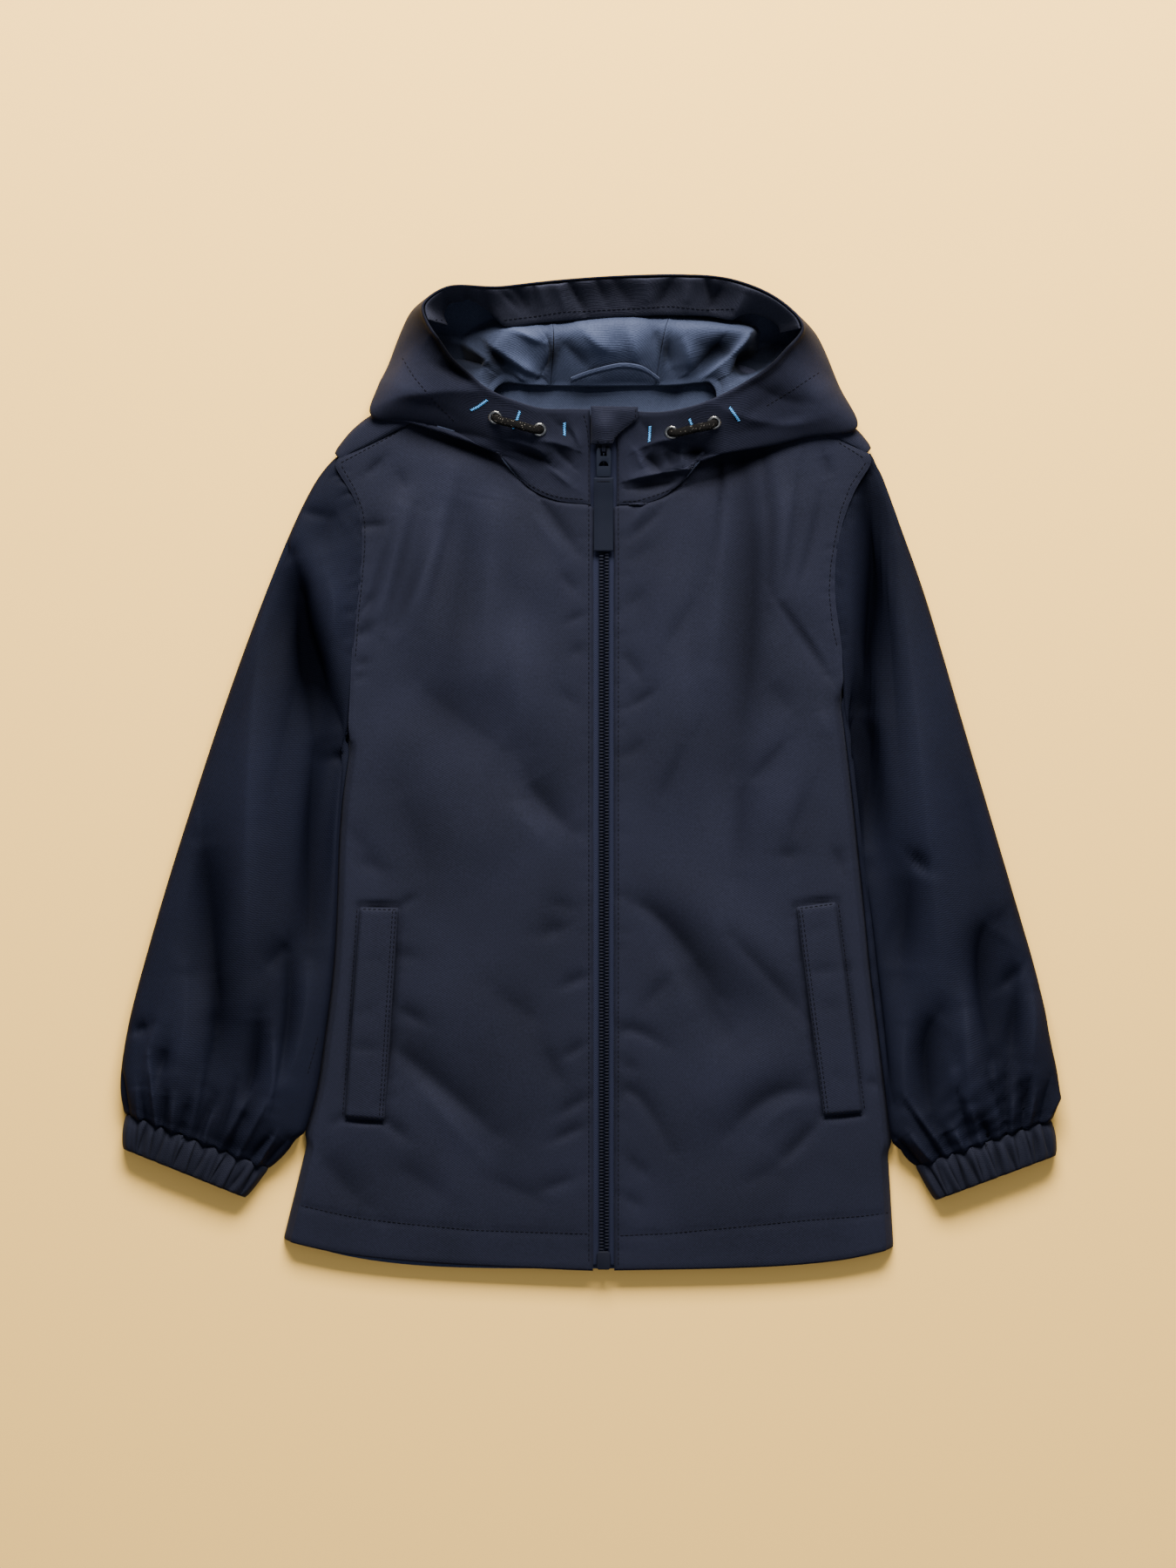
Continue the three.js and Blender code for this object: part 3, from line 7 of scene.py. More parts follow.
# %% Load the solids
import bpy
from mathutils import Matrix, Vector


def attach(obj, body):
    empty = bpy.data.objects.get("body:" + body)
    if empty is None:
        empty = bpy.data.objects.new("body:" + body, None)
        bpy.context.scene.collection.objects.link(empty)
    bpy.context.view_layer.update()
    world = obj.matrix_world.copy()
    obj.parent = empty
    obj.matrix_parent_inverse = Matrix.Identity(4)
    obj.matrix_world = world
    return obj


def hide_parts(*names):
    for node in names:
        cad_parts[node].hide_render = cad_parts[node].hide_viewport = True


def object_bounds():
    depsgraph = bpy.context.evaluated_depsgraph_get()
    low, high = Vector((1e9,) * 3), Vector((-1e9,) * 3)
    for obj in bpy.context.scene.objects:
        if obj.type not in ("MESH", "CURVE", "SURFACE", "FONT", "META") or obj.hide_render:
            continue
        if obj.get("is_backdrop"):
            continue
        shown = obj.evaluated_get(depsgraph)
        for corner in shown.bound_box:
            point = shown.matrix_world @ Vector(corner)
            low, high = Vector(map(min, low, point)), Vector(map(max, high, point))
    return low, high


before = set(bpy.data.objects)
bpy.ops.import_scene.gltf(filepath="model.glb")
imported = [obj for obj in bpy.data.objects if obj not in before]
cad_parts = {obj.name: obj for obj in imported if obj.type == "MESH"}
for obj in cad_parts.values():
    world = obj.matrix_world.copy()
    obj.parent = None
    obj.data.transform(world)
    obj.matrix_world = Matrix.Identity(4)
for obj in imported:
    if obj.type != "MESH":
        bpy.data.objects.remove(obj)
cad_box = [list(corner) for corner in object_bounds()]

import heapq
import math
import random

import bmesh
import bpy
import numpy as np
from mathutils import Matrix, Vector
from mathutils.bvhtree import BVHTree
from mathutils.kdtree import KDTree

MM = 0.001
random.seed(12)
print("solids:", len(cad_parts), "box in mm:", [[round(v / MM, 1) for v in c] for c in cad_box])

# %% [markdown]
# ## Camera
# The photograph looks straight down. One of its pixels is 0.53 mm on the cloth, so the picture
# takes in 954 mm from top to bottom. A long lens from far away keeps the hood, which stands
# 40 mm high, from growing in the picture.

# %% Camera
PICTURE_HIGH = 0.954
PICTURE_CENTRE = (-0.0011, -0.0061)
CLOTH_HEIGHT = 0.010
LENS = 200

camera_data = bpy.data.cameras.new("camera")
camera_data.lens = LENS
camera_data.sensor_width = 36
camera_height = CLOTH_HEIGHT + PICTURE_HIGH * LENS / camera_data.sensor_width
camera_data.clip_end = 30
camera = bpy.data.objects.new("camera", camera_data)
camera.location = (*PICTURE_CENTRE, camera_height)
bpy.context.collection.objects.link(camera)
bpy.context.scene.camera = camera
print("camera height in m:", round(camera_height, 3))

# %% [markdown]
# ## Colours and nodes
# Colours are written as the hex values that a paint program shows, and one function turns them
# to the linear values that the renderer works in. One more function adds a node with its
# settings and its links, so that a material reads as a list of what its surface is made of.

# %% Colour and node helpers
def linear(hex_colour):
    parts = [int(hex_colour[i:i + 2], 16) / 255 for i in (1, 3, 5)]
    bright = [p / 12.92 if p <= 0.04045 else ((p + 0.055) / 1.055) ** 2.4 for p in parts]
    return (*bright, 1.0)


def new_material(name):
    material = bpy.data.materials.new(name)
    material.use_nodes = True
    tree = material.node_tree
    tree.nodes.clear()
    return material, tree


def add_node(tree, kind, settings=None, **sockets):
    """A socket is called by its name, or by n and its number. A node stands for its first output."""
    node = tree.nodes.new("ShaderNode" + kind)
    for key, value in (settings or {}).items():
        setattr(node, key, value)
    for key, value in sockets.items():
        by_number = key[0] == "n" and key[1:].isdigit()
        socket = node.inputs[int(key[1:]) if by_number else key.replace("_", " ")]
        if isinstance(value, bpy.types.Node):
            value = value.outputs[0]
        if isinstance(value, bpy.types.NodeSocket):
            tree.links.new(value, socket)
        else:
            socket.default_value = value
    return node


print("navy in linear light:", [round(v, 4) for v in linear("#25273a")])

# %% [markdown]
# ## Floor
# The coat lies on a plain warm beige table top. One large plane is enough, a little below the
# cloth so that the two never fight for the same place.

# %% Floor
FLOOR_COLOUR = "#f8c767"

floor_paint, tree = new_material("painted_table_top")
surface = add_node(tree, "BsdfPrincipled", Base_Color=linear(FLOOR_COLOUR), Roughness=0.75)
add_node(tree, "OutputMaterial", Surface=surface)

bpy.ops.object.select_all(action="DESELECT")
bpy.ops.mesh.primitive_plane_add(size=14, location=(0, 0, -0.6 * MM))
floor = bpy.context.object
floor.name = "table_top"
floor.data.materials.append(floor_paint)
floor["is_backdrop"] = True
print("floor size in m:", [round(v, 1) for v in floor.dimensions])

# %% [markdown]
# ## Light
# The light is a large soft box above the coat and well beyond its hood, so shadows fall softly
# below the hem and the cuffs. A weak second box and a pale blue room keep the shadows open.
# A lamp has to point at the coat: its own -Z axis is turned towards the origin.

# %% Light
def soft_box(name, place, size, power, colour="#ffffff"):
    data = bpy.data.lights.new(name, "AREA")
    data.shape = "RECTANGLE"
    data.size, data.size_y = size
    data.energy = power
    data.color = linear(colour)[:3]
    lamp = bpy.data.objects.new(name, data)
    lamp.location = place
    lamp.rotation_mode = "QUATERNION"
    lamp.rotation_quaternion = (-Vector(place)).to_track_quat("-Z", "Y")
    bpy.context.collection.objects.link(lamp)


soft_box("overhead_soft_box", (0.1, 1.6, 1.15), (1.4, 0.8), 180, "#fffaf2")
soft_box("fill_soft_box", (0.5, -1.2, 3.0), (2.0, 2.0), 12)
world = bpy.data.worlds.new("studio")
world.use_nodes = True
room = world.node_tree.nodes["Background"]
room.inputs["Color"].default_value = linear("#e4edff")
room.inputs["Strength"].default_value = 0.36
bpy.context.scene.world = world

# %% [markdown]
# ## The shell cloth
# The coat is a plain weave of polyester yarn with a thin coating on its wrong side. The yarns are
# about 0.3 mm apart, too fine to show at this size, so they are drawn 0.7 mm apart. Coated cloth
# is smooth: it has a low, broad gloss, and its colour hardly varies. The wrong side shows inside
# the hood, where the coating makes it a paler slate.
# The weave follows each piece's own UV map, which is in metres along and across the cloth.
# Creases on a thin shell over a rigid form are shallower than real ones, so each sheet also keeps how
# high its creases stand, in mm, in an attribute named fold. From it a trough gets painted shade,
# darker and less glossy, and a ridge a painted highlight, lighter. That follows the cloth and not the
# camera, so it holds in every view.

# %% Woven cloth material
YARN = 0.7
CLOTH_ROUGHNESS = 0.74
FOLD_RANGE = {"From_Min": -5.0, "From_Max": 2.5}


def woven_cloth(name, hex_colour, hex_light, sheen, relief):
    material, tree = new_material(name)
    along = add_node(tree, "UVMap", {"uv_map": "grain"})
    place = add_node(tree, "TexCoord")
    grain = add_node(tree, "SeparateXYZ", Vector=along.outputs["UV"])
    waves = []
    for axis in (0, 1):
        turns = add_node(tree, "Math", {"operation": "MULTIPLY"},
                         n0=grain.outputs[axis], n1=math.pi / (YARN * MM))
        waves.append(add_node(tree, "Math", {"operation": "SINE"}, n0=turns))
    weave = add_node(tree, "Math", {"operation": "MULTIPLY"}, n0=waves[0], n1=waves[1])
    # slow changes of shade, as the dye takes differently along the cloth, and fine specks of yarn
    patches = add_node(tree, "TexNoise", Vector=place.outputs["Object"], Scale=14.0, Detail=3.0)
    specks = add_node(tree, "TexNoise", Vector=place.outputs["Object"], Scale=900.0, Detail=2.0)
    shade = add_node(tree, "Math", {"operation": "MULTIPLY_ADD"},
                     n0=specks.outputs["Fac"], n1=0.9, n2=patches.outputs["Fac"])
    share = add_node(tree, "MapRange", Value=shade, From_Min=0.55, From_Max=1.35)
    colour = add_node(tree, "Mix", {"data_type": "RGBA"}, Factor=share,
                      n6=linear(hex_colour), n7=linear(hex_light))
    # painted shade in the troughs and painted highlight on the ridges, from the depth of the folds, in
    # the colour and in the gloss
    fold = add_node(tree, "Attribute", {"attribute_name": "fold"})
    depth = add_node(tree, "MapRange", Value=fold.outputs["Fac"],
                     To_Min=0.15, To_Max=1.42, **FOLD_RANGE)
    painted_shade_colour = add_node(tree, "VectorMath", {"operation": "SCALE"}, n0=colour.outputs[2], Scale=depth)
    gloss = add_node(tree, "MapRange", Value=fold.outputs["Fac"],
                     To_Min=0.005, To_Max=0.09, **FOLD_RANGE)
    # small soft wrinkles that are finer than the mesh, under the weave
    crush = add_node(tree, "TexNoise", Vector=place.outputs["Object"], Scale=38.0,
                     Detail=4.0, Roughness=0.45, Distortion=0.6)
    low = add_node(tree, "Bump", Strength=0.35, Distance=relief * MM, Height=crush.outputs["Fac"])
    fine = add_node(tree, "Bump", Strength=0.5, Distance=0.1 * MM, Height=weave, Normal=low)
    surface = add_node(tree, "BsdfPrincipled", Base_Color=painted_shade_colour, Roughness=CLOTH_ROUGHNESS, IOR=1.5,
                       Specular_IOR_Level=gloss, Sheen_Weight=sheen, Sheen_Roughness=0.5, Normal=fine)
    add_node(tree, "OutputMaterial", Surface=surface)
    return material


shell_cloth = woven_cloth("coated_polyester_navy", "#10121c", "#1a1c2a", 0.02, 0.8)
# the facing is the same navy cloth, painted lighter than the shell: painted light
facing_cloth = woven_cloth("coated_polyester_facing_painted_light", "#1c1d28", "#2b2d39", 0.02, 0.8)
# the sleeves are the same navy cloth, painted darker than the fronts: painted shade
sleeve_cloth = woven_cloth("coated_polyester_navy_painted_shade", "#090b15", "#0f1220", 0.0, 0.8)
inside_cloth = woven_cloth("coated_polyester_wrong_side", "#2a3042", "#3a4156", 0.03, 1.0)
cuff_cloth = woven_cloth("coated_polyester_cuff", "#0f111b", "#171925", 0.02, 0.6)
print("cloth materials:", shell_cloth.name, inside_cloth.name, cuff_cloth.name)

# %% [markdown]
# ## From a solid to a soft shell
# A CAD cloth piece is a closed body: a right side, a wrong side and a narrow rim as wide as the
# cloth's wall. A plane could be cut and draped instead, but then it would no longer lie where the
# solid lies. So we take one side of the solid as an open sheet and turn its triangles back to the
# squares that they were cut from, which Subdivision Surface rounds well. Creases are pushed into
# that sheet, and Solidify gives the wall back at the very end, so the cloth is evenly thick.
# Which side of the solid is kept depends on the piece: the one that looks up, down or outwards.

# %% One side of a solid, as squares
def side_of(node, wall_mm, side):
    mesh = bmesh.new()
    mesh.from_mesh(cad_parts[node].data)
    bmesh.ops.remove_doubles(mesh, verts=mesh.verts, dist=1e-6)
    mesh.normal_update()
    solid = BVHTree.FromBMesh(mesh)
    rim = [f for f in mesh.faces if is_rim(f, solid, wall_mm * MM, node.startswith("front"))]
    bmesh.ops.delete(mesh, geom=rim, context="FACES")
    islands = sorted(connected(mesh), key=len, reverse=True)[:2]
    area = [sum(f.calc_area() for f in island) for island in islands]
    up = [sum(f.calc_area() * f.normal.z for f in island) for island in islands]
    keep = {"up": int(up[1] > up[0]), "down": int(up[1] < up[0]), "outer": int(area[1] > area[0])}[side]
    kept = set(islands[keep])
    bmesh.ops.delete(mesh, geom=[f for f in mesh.faces if f not in kept], context="FACES")
    clashes = join_squares(mesh)
    loose = [f for f in mesh.faces if len(f.verts) == 3]
    if len(loose) < 4:
        bmesh.ops.delete(mesh, geom=loose, context="FACES")
    return mesh, clashes


def is_rim(face, solid, wall, by_depth):
    if any(abs(e.calc_length() - wall) < 1.2e-5 for e in face.edges):
        return True
    if not by_depth:
        return False
    hit = solid.ray_cast(face.calc_center_median() - face.normal * 1e-5, -face.normal, 0.05)
    return hit[3] is None or hit[3] > 1.7 * wall or hit[1].dot(face.normal) > -0.6


def connected(mesh):
    seen = set()
    for first in mesh.faces:
        if first in seen:
            continue
        seen.add(first)
        island, waiting = [], [first]
        while waiting:
            face = waiting.pop()
            island.append(face)
            near = [g for e in face.edges for g in e.link_faces if g not in seen]
            seen.update(near)
            waiting.extend(dict.fromkeys(near))
        yield island


def slants(first, slant):
    """Passes the slanting edge of one triangle on to every other triangle of the sheet."""
    found = {first: slant}
    waiting = [first]
    clashes = 0
    while waiting:
        face = waiting.pop()
        own = found[face]
        for edge in face.edges:
            for other in edge.link_faces:
                if other is face:
                    continue
                passed = edge
                if edge is not own:
                    start = next(v for v in edge.verts if v not in own.verts)
                    tip = next(v for v in other.verts if v not in edge.verts)
                    passed = next(e for e in other.edges if start in e.verts and tip in e.verts)
                if other not in found:
                    found[other] = passed
                    waiting.append(other)
                elif found[other] is not passed:
                    clashes += 1
    edges = set(found.values())
    return clashes + sum(1 for e in edges if len(e.link_faces) != 2), edges


def join_squares(mesh):
    mesh.faces.ensure_lookup_table()
    first = mesh.faces[0]
    clashes, edges = min((slants(first, e) for e in first.edges), key=lambda tried: tried[0])
    inner = [e for e in edges if len(e.link_faces) == 2]
    bmesh.ops.dissolve_edges(mesh, edges=inner, use_verts=False)
    return clashes


# each piece: the wall of its solid in mm, the side that is kept, the level of rounding
PIECES = {
    "front_left": (1.4, "up", 3),
    "front_right": (1.4, "up", 3),
    "back_panel": (1.4, "down", 2),
    "back_shoulder_left": (1.4, "outer", 2),
    "back_shoulder_right": (1.4, "outer", 2),
    "sleeve_left": (1.4, "outer", 3),
    "sleeve_right": (1.4, "outer", 3),
    "cuff_left": (1.4, "outer", 3),
    "cuff_right": (1.4, "outer", 3),
    "hood_side_left": (1.2, "outer", 3),
    "hood_centre": (1.2, "outer", 3),
    "hood_side_right": (1.2, "outer", 3),
    "hood_facing": (1.2, "up", 3),
    "pocket_welt_left": (1.2, "up", 2),
    "pocket_welt_right": (1.2, "up", 2),
    "chin_guard": (1.2, "up", 2),
    "hanger_loop": (1.2, "up", 2),
}


def new_piece(name, mesh):
    data = bpy.data.meshes.new(name)
    mesh.to_mesh(data)
    mesh.free()
    piece = bpy.data.objects.new(name, data)
    bpy.context.collection.objects.link(piece)
    return piece


sheets = {}
for node, (wall, side, level) in PIECES.items():
    squares, clashes = side_of(node, wall, side)
    corners = [len(f.verts) for f in squares.faces]
    sheets[node] = new_piece("cloth_" + node, squares)
    print(node, "squares", corners.count(4), "left as triangles", corners.count(3), "clashes", clashes)

# %% [markdown]
# ## Rounding without shrinking
# Subdivision Surface pulls a sheet inside its corners, and a pulled-in edge would open the seams.
# So each point is first moved out by the amount that the rounding pulls it in. After a few rounds
# the rounded sheet passes through the points of its solid again.

# %% Round the sheets
def read_points(data):
    points = np.empty(len(data.vertices) * 3)
    data.vertices.foreach_get("co", points)
    return points.reshape(-1, 3)


def write_points(data, points):
    data.vertices.foreach_set("co", points.ravel())
    data.update()


def apply_modifier(piece, modifier):
    bpy.context.view_layer.objects.active = piece
    bpy.ops.object.modifier_apply(modifier=modifier.name)


def round_sheet(sheet, level):
    rounding = sheet.modifiers.new("rounding", "SUBSURF")
    rounding.levels = rounding.render_levels = level
    rounding.boundary_smooth = "PRESERVE_CORNERS"
    goal = read_points(sheet.data)
    held = goal.copy()
    for _ in range(4):
        shown = sheet.evaluated_get(bpy.context.evaluated_depsgraph_get()).data
        held += 0.9 * (goal - read_points(shown)[:len(goal)])
        write_points(sheet.data, held)
        bpy.context.view_layer.update()
    shown = sheet.evaluated_get(bpy.context.evaluated_depsgraph_get()).data
    miss = np.abs(goal - read_points(shown)[:len(goal)]).max()
    apply_modifier(sheet, rounding)
    return miss


bpy.ops.object.select_all(action="DESELECT")
for node, (wall, side, level) in PIECES.items():
    miss = round_sheet(sheets[node], level)
    print(node, "points", len(sheets[node].data.vertices), "furthest miss in mm", round(miss / MM, 2))

# %% [markdown]
# ## Creases
# Real creases are few, long and uneven: soft troughs where the cloth has slack, and crisp short
# pulls beside seams. Sculpting them by hand can't be repeated and noise looks like gravel, so each
# row below is one crease, read off the coat, in millimetres: where it starts, a point that
# it passes (left out where it runs straight), where it ends, its half width, its rise (less than
# zero is a trough) and its lean (left out where it is even), which makes one side steeper.
# A crease fades at both ends, and it acts only on cloth that faces the viewer.

# %% Crease helper
CREASE_STEPS = 10
END_FADE = 0.6
SHARPNESS = 1.25


def full_row(row):
    if len(row) < 8:
        x1, y1, x2, y2, *rest = row
        row = (x1, y1, (x1 + x2) / 2, (y1 + y2) / 2, x2, y2, *rest)
    return row if len(row) == 9 else (*row, 0.0)


def crease_heights(flat, rows):
    heights = np.zeros(len(flat))
    steps = np.linspace(0, 1, CREASE_STEPS + 1)[:, None]
    for x1, y1, xm, ym, x2, y2, half, rise, lean in map(full_row, rows):
        start, end = np.array([x1, y1]), np.array([x2, y2])
        pull = 2 * np.array([xm, ym]) - (start + end) / 2
        line = (1 - steps) ** 2 * start + 2 * steps * (1 - steps) * pull + steps ** 2 * end
        reach = 3 * half * (1 + abs(lean))
        low, high = line.min(axis=0) - reach, line.max(axis=0) + reach
        near = np.flatnonzero(((flat > low) & (flat < high)).all(axis=1))
        if not len(near):
            continue
        best = np.full(len(near), 1e9)
        across, along = np.zeros((2, len(near)))
        for k in range(CREASE_STEPS):
            step = line[k + 1] - line[k]
            away = flat[near] - line[k]
            share = np.clip(away @ step / (step @ step), 0, 1)
            gap = away - share[:, None] * step
            distance = np.hypot(gap[:, 0], gap[:, 1])
            closer = distance < best
            best[closer] = distance[closer]
            across[closer] = np.sign(step[0] * gap[:, 1] - step[1] * gap[:, 0])[closer]
            along[closer] = ((k + share) / CREASE_STEPS)[closer]
        width = half * (1 + lean * across)
        fade = np.sin(np.pi * np.clip(along, 0.06, 0.94)) ** END_FADE
        heights[near] += rise * fade * np.exp(-(best / width) ** SHARPNESS)
    return heights


print("a straight row in full:", full_row((0, 0, 10, 0, 2, -1)))

# %% [markdown]
# ## Creases of the fronts and sleeves
# The fronts have many small pulls around one long soft fold each. The sleeves have slack, so
# theirs are long and deep: a valley beside the armhole, a lit fold down the middle, and troughs
# that run into the cuff.

# %% Rows for the fronts and sleeves
LEFT_FRONT_CREASES = [
    # the cloth sinks where the hood lies over it, and this trough also carries the painted shadow of the
    # hood
    (-122, 210, -72, 198, -24, 182, 11, -4, 0.3),
    # thin streaks that run out of the armhole
    (-119, 160, -128, 125, -136, 91, 2.4, -1.3, 0.3),
    (-112, 162, -121, 124, -131, 88, 3, 1),
    (-105, 164, -117, 120, -127, 80, 2.4, -1.3, 0.3),
    (-93, 150, -106, 118, -119, 88, 2.8, -1.1, 0.3),
    (-80, 176, -90, 130, -104, 84, 3.6, -0.9, 0.3),
    (-141, 96, -130, 110, 2, -1, 0.3),
    (-143, 84, -128, 92, 2, -1, 0.3),
    # short pulls below the neck and the shoulder
    (-31, 168, -8, 134, 3.4, -1.9, 0.45),
    (-36, 160, -14, 130, 5, 1),
    (-125, 193, -137, 181, 3, -1.4),
    (-118, 186, -112, 172, 4.5, -0.9),
    (-141, 151, -124, 151, 2.8, -1.5, 0.3),
    (-142, 84, -132, 86, 2.6, -1.2),
    (-143, 66, -134, 69, 2.6, -0.9),
    (-144, 58, -136, 60, 2.4, -0.7),
    # the fan from the shoulder towards the middle
    (-113, 170, -122, 150, -128, 126, 5, 1.4, 0.2),
    (-84, 186, -97, 131, -114, 86, 7, 1.7, -0.2),
    (-99, 160, -106, 125, -119, 90, 6, -1.4, 0.2),
    (-57, 168, -62, 120, -64, 60, 9, 1.3),
    (-74, 160, -78, 110, -84, 50, 8, -1),
    (-40, 120, -44, 60, -40, 10, 11, 1),
    # beside the zip, above the waist
    (-17, 121, -8, 110, 2.8, -1.1, 0.3),
    (-15, 92, -3, 98, 2.6, -1),
    (-12, 72, -3, 78, 3.5, -0.8),
    (-20, 52, -6, 40, 4.5, -0.8),
    # the broad slanting trough over the belly
    (-105, 55, -82, 37, -52, 14, 15, -2),
    (-38, -4, -28, -18, -11, -35, 7.5, -2.3, 0.4),
    (-45, -14, -40, -28, -24, -44, 9, 1.3),
    (-115, -12, -105, -40, -98, -70, 12, -1),
    (-150, -30, -138, -44, -128, -60, 8, -0.9),
    (-142, -52, -122, -60, 5, -0.9),
    # out of the pocket's corners
    (-116, -80, -106, -75, 2.4, -1.1),
    (-118, -142, -99, -153, 4, -1.5, 0.3),
    (-122, -108, -104, -112, 4, -0.9),
    (-126, -210, -111, -223, 3.4, -1.6, 0.3),
    (-150, -208, -158, -214, 2.6, -0.9),
    # the long fold from the pocket to the hem
    (-119, -166, -94, -187, -58, -219, 7, -2.7, 0.35),
    (-106, -186, -90, -206, -66, -234, 9, 1.5),
    (-163, -231, -152, -246, -138, -262, 10, -1.7, 0.3),
    (-118, -240, -104, -246, -84, -262, 9, -1.2),
    # soft pulls into the zip, below the waist
    (-31, -98, -14, -93, 5.5, -1.6, 0.3),
    (-25, -78, -8, -82, 4.5, -1),
    (-17, -130, -1, -122, 3, -1.5, 0.4),
    (-16, -173, -3, -164, 2.8, -1.3, 0.4),
    (-27, -164, -22, -178, -15, -190, 5, -1.5),
    (-19, -208, -1, -196, 3.2, -1.5, 0.4),
    (-23, -224, -3, -214, 3.2, -1.5, 0.4),
    (-31, -254, -9, -246, 4, -1.2, 0.3),
    (-60, -128, -44, -142, -30, -150, 8, -1.1),
    (-62, -246, -42, -254, -26, -262, 6, -0.9),
]
RIGHT_FRONT_CREASES = [
    # the cloth sinks where the hood lies over it, and this trough also carries the painted shadow of the
    # hood
    (54, 176, 86, 184, 122, 206, 11, -4, 0.3),
    # thin streaks down the chest, and out of the armhole
    (79, 198, 80, 165, 74, 122, 2.8, -1.6, -0.4),
    (104, 200, 110, 150, 108, 100, 4, -1.6, 0.3),
    (128, 190, 124, 150, 118, 110, 3.6, -1.1, 0.3),
    (140, 170, 134, 140, 126, 112, 2.4, -1.1, 0.3),
    (60, 20, 40, -20, 8, -1.2, 0.3),
    (120, 20, 96, -6, 6, -1.3, 0.3),
    (66, 110, 44, 74, 7, -1, 0.3),
    (134, -8, 122, -40, 6, -1, 0.3),
    (25, 143, 43, 160, 2.6, -1.3, 0.4),
    (24, 150, 34, 163, 3, 0.8),
    (22, 128, 40, 140, 5, -0.7),
    # beside the zip, above the waist
    (21, 74, 31, 57, 4, -1.1, 0.3),
    (25, 40, 40, 51, 4, -1.2, 0.3),
    (20, 100, 36, 112, 6, -0.7),
    (20, 10, 34, 20, 5, -0.8),
    # the long soft valley down the chest, and the lit folds on both sides of it
    (92, 194, 99, 110, 88, 4, 12, -2.9, -0.25),
    (91, -4, 91, -30, 90, -62, 8, -1.7, 0.3),
    (80, 172, 80, 120, 74, 60, 9, 1.7),
    (112, 190, 118, 150, 114, 110, 8, 0.9),
    (60, 120, 58, 70, 60, 20, 11, 0.9),
    # the crisp slanting crease by the armhole
    (112, 108, 129, 84, 144, 60, 4, -2.4, 0.5),
    (118, 106, 134, 84, 147, 64, 5, 1.2),
    (142, 195, 147, 179, 3.4, -1.2),
    (108, 56, 124, 36, 9, -1),
    (140, 40, 146, 22, 5, 0.9),
    (114, -50, 128, -48, 5, -1.1),
    (148, -44, 154, -60, 4.5, -1.2, 0.3),
    # arcs from the zip down to the pocket
    (27, -79, 47, -93, 79, -136, 6, -2.4, 0.35),
    (58, -112, 72, -138, 90, -166, 13, -1.7),
    (40, -104, 56, -130, 66, -152, 9, 1.2),
    (86, -98, 109, -124, 131, -148, 5, -1.6, 0.3),
    (33, -141, 49, -123, 4.5, -1.1),
    (19, -161, 26, -156, 46, -166, 3.4, -1.6, 0.3),
    (19, -198, 30, -197, 50, -230, 4, -1.6, 0.35),
    (20, -176, 30, -180, 3.4, -0.9),
    (22, -232, 36, -246, 4, -0.9),
    (20, -256, 32, -264, 3.4, -0.8),
    # out of the pocket's lower corner
    (86, -218, 110, -197, 136, -193, 5, -1.8, 0.35),
    (114, -238, 126, -226, 139, -212, 4.5, -2.1, 0.4),
    (100, -224, 116, -206, 134, -202, 6, 1),
    (90, -252, 106, -244, 120, -246, 7, -0.9),
    (168, -186, 176, -190, 3, -0.9),
    (152, -120, 160, -118, 3, -0.8),
]
LEFT_SLEEVE_CREASES = [
    # the deep valley outside the armhole, steep on the coat's side
    (-182, 134, -167, 84, -147, 18, 12, -6, -0.55),
    (-177, 112, -172, 60, -162, 8, 8, -2),
    (-166, 12, -168, -50, -170, -112, 8, -3),
    # the long lit fold down the middle, with a deep trough on each side above the cuff
    (-198, 110, -207, 0, -208, -140, 11, 1.9),
    (-236, -40, -232, -85, -228, -150, 10, -3.8, 0.3),
    (-229, -120, -226, -150, -234, -190, 6, -2.4, 0.2),
    (-246, -118, -246, -150, -252, -182, 9, 2.2),
    (-202, -146, -204, -172, -211, -208, 7.5, -3.8),
    (-193, -158, -192, -184, -196, -208, 5, 2.2, 0.2),
    (-183, -108, -183, -150, -192, -196, 5, -3, 0.2),
    (-172, -116, -174, -150, -184, -188, 6, 1.4),
    (-262, -150, -268, -170, -270, -192, 6, 1.6),
    (-279, -157, -268, -154, 3.4, -2, 0.3),
    (-262, -184, -257, -166, 5, -2.2, 0.3),
    (-148, 12, -157, 9, 3, -1.8),
    (-198, -119, -182, -102, 8, -1.6),
    (-152, 160, -160, 150, -158, 132, 9, -1.6),
    (-176, 160, -158, 156, 3, -1.2, 0.3),
    (-160, 120, -156, 100, -160, 76, 6, 1.5, 0.2),
    (-190, 100, -206, 60, -222, 10, 10, -0.9),
    (-176, 60, -186, 20, -196, -30, 8, -1),
]
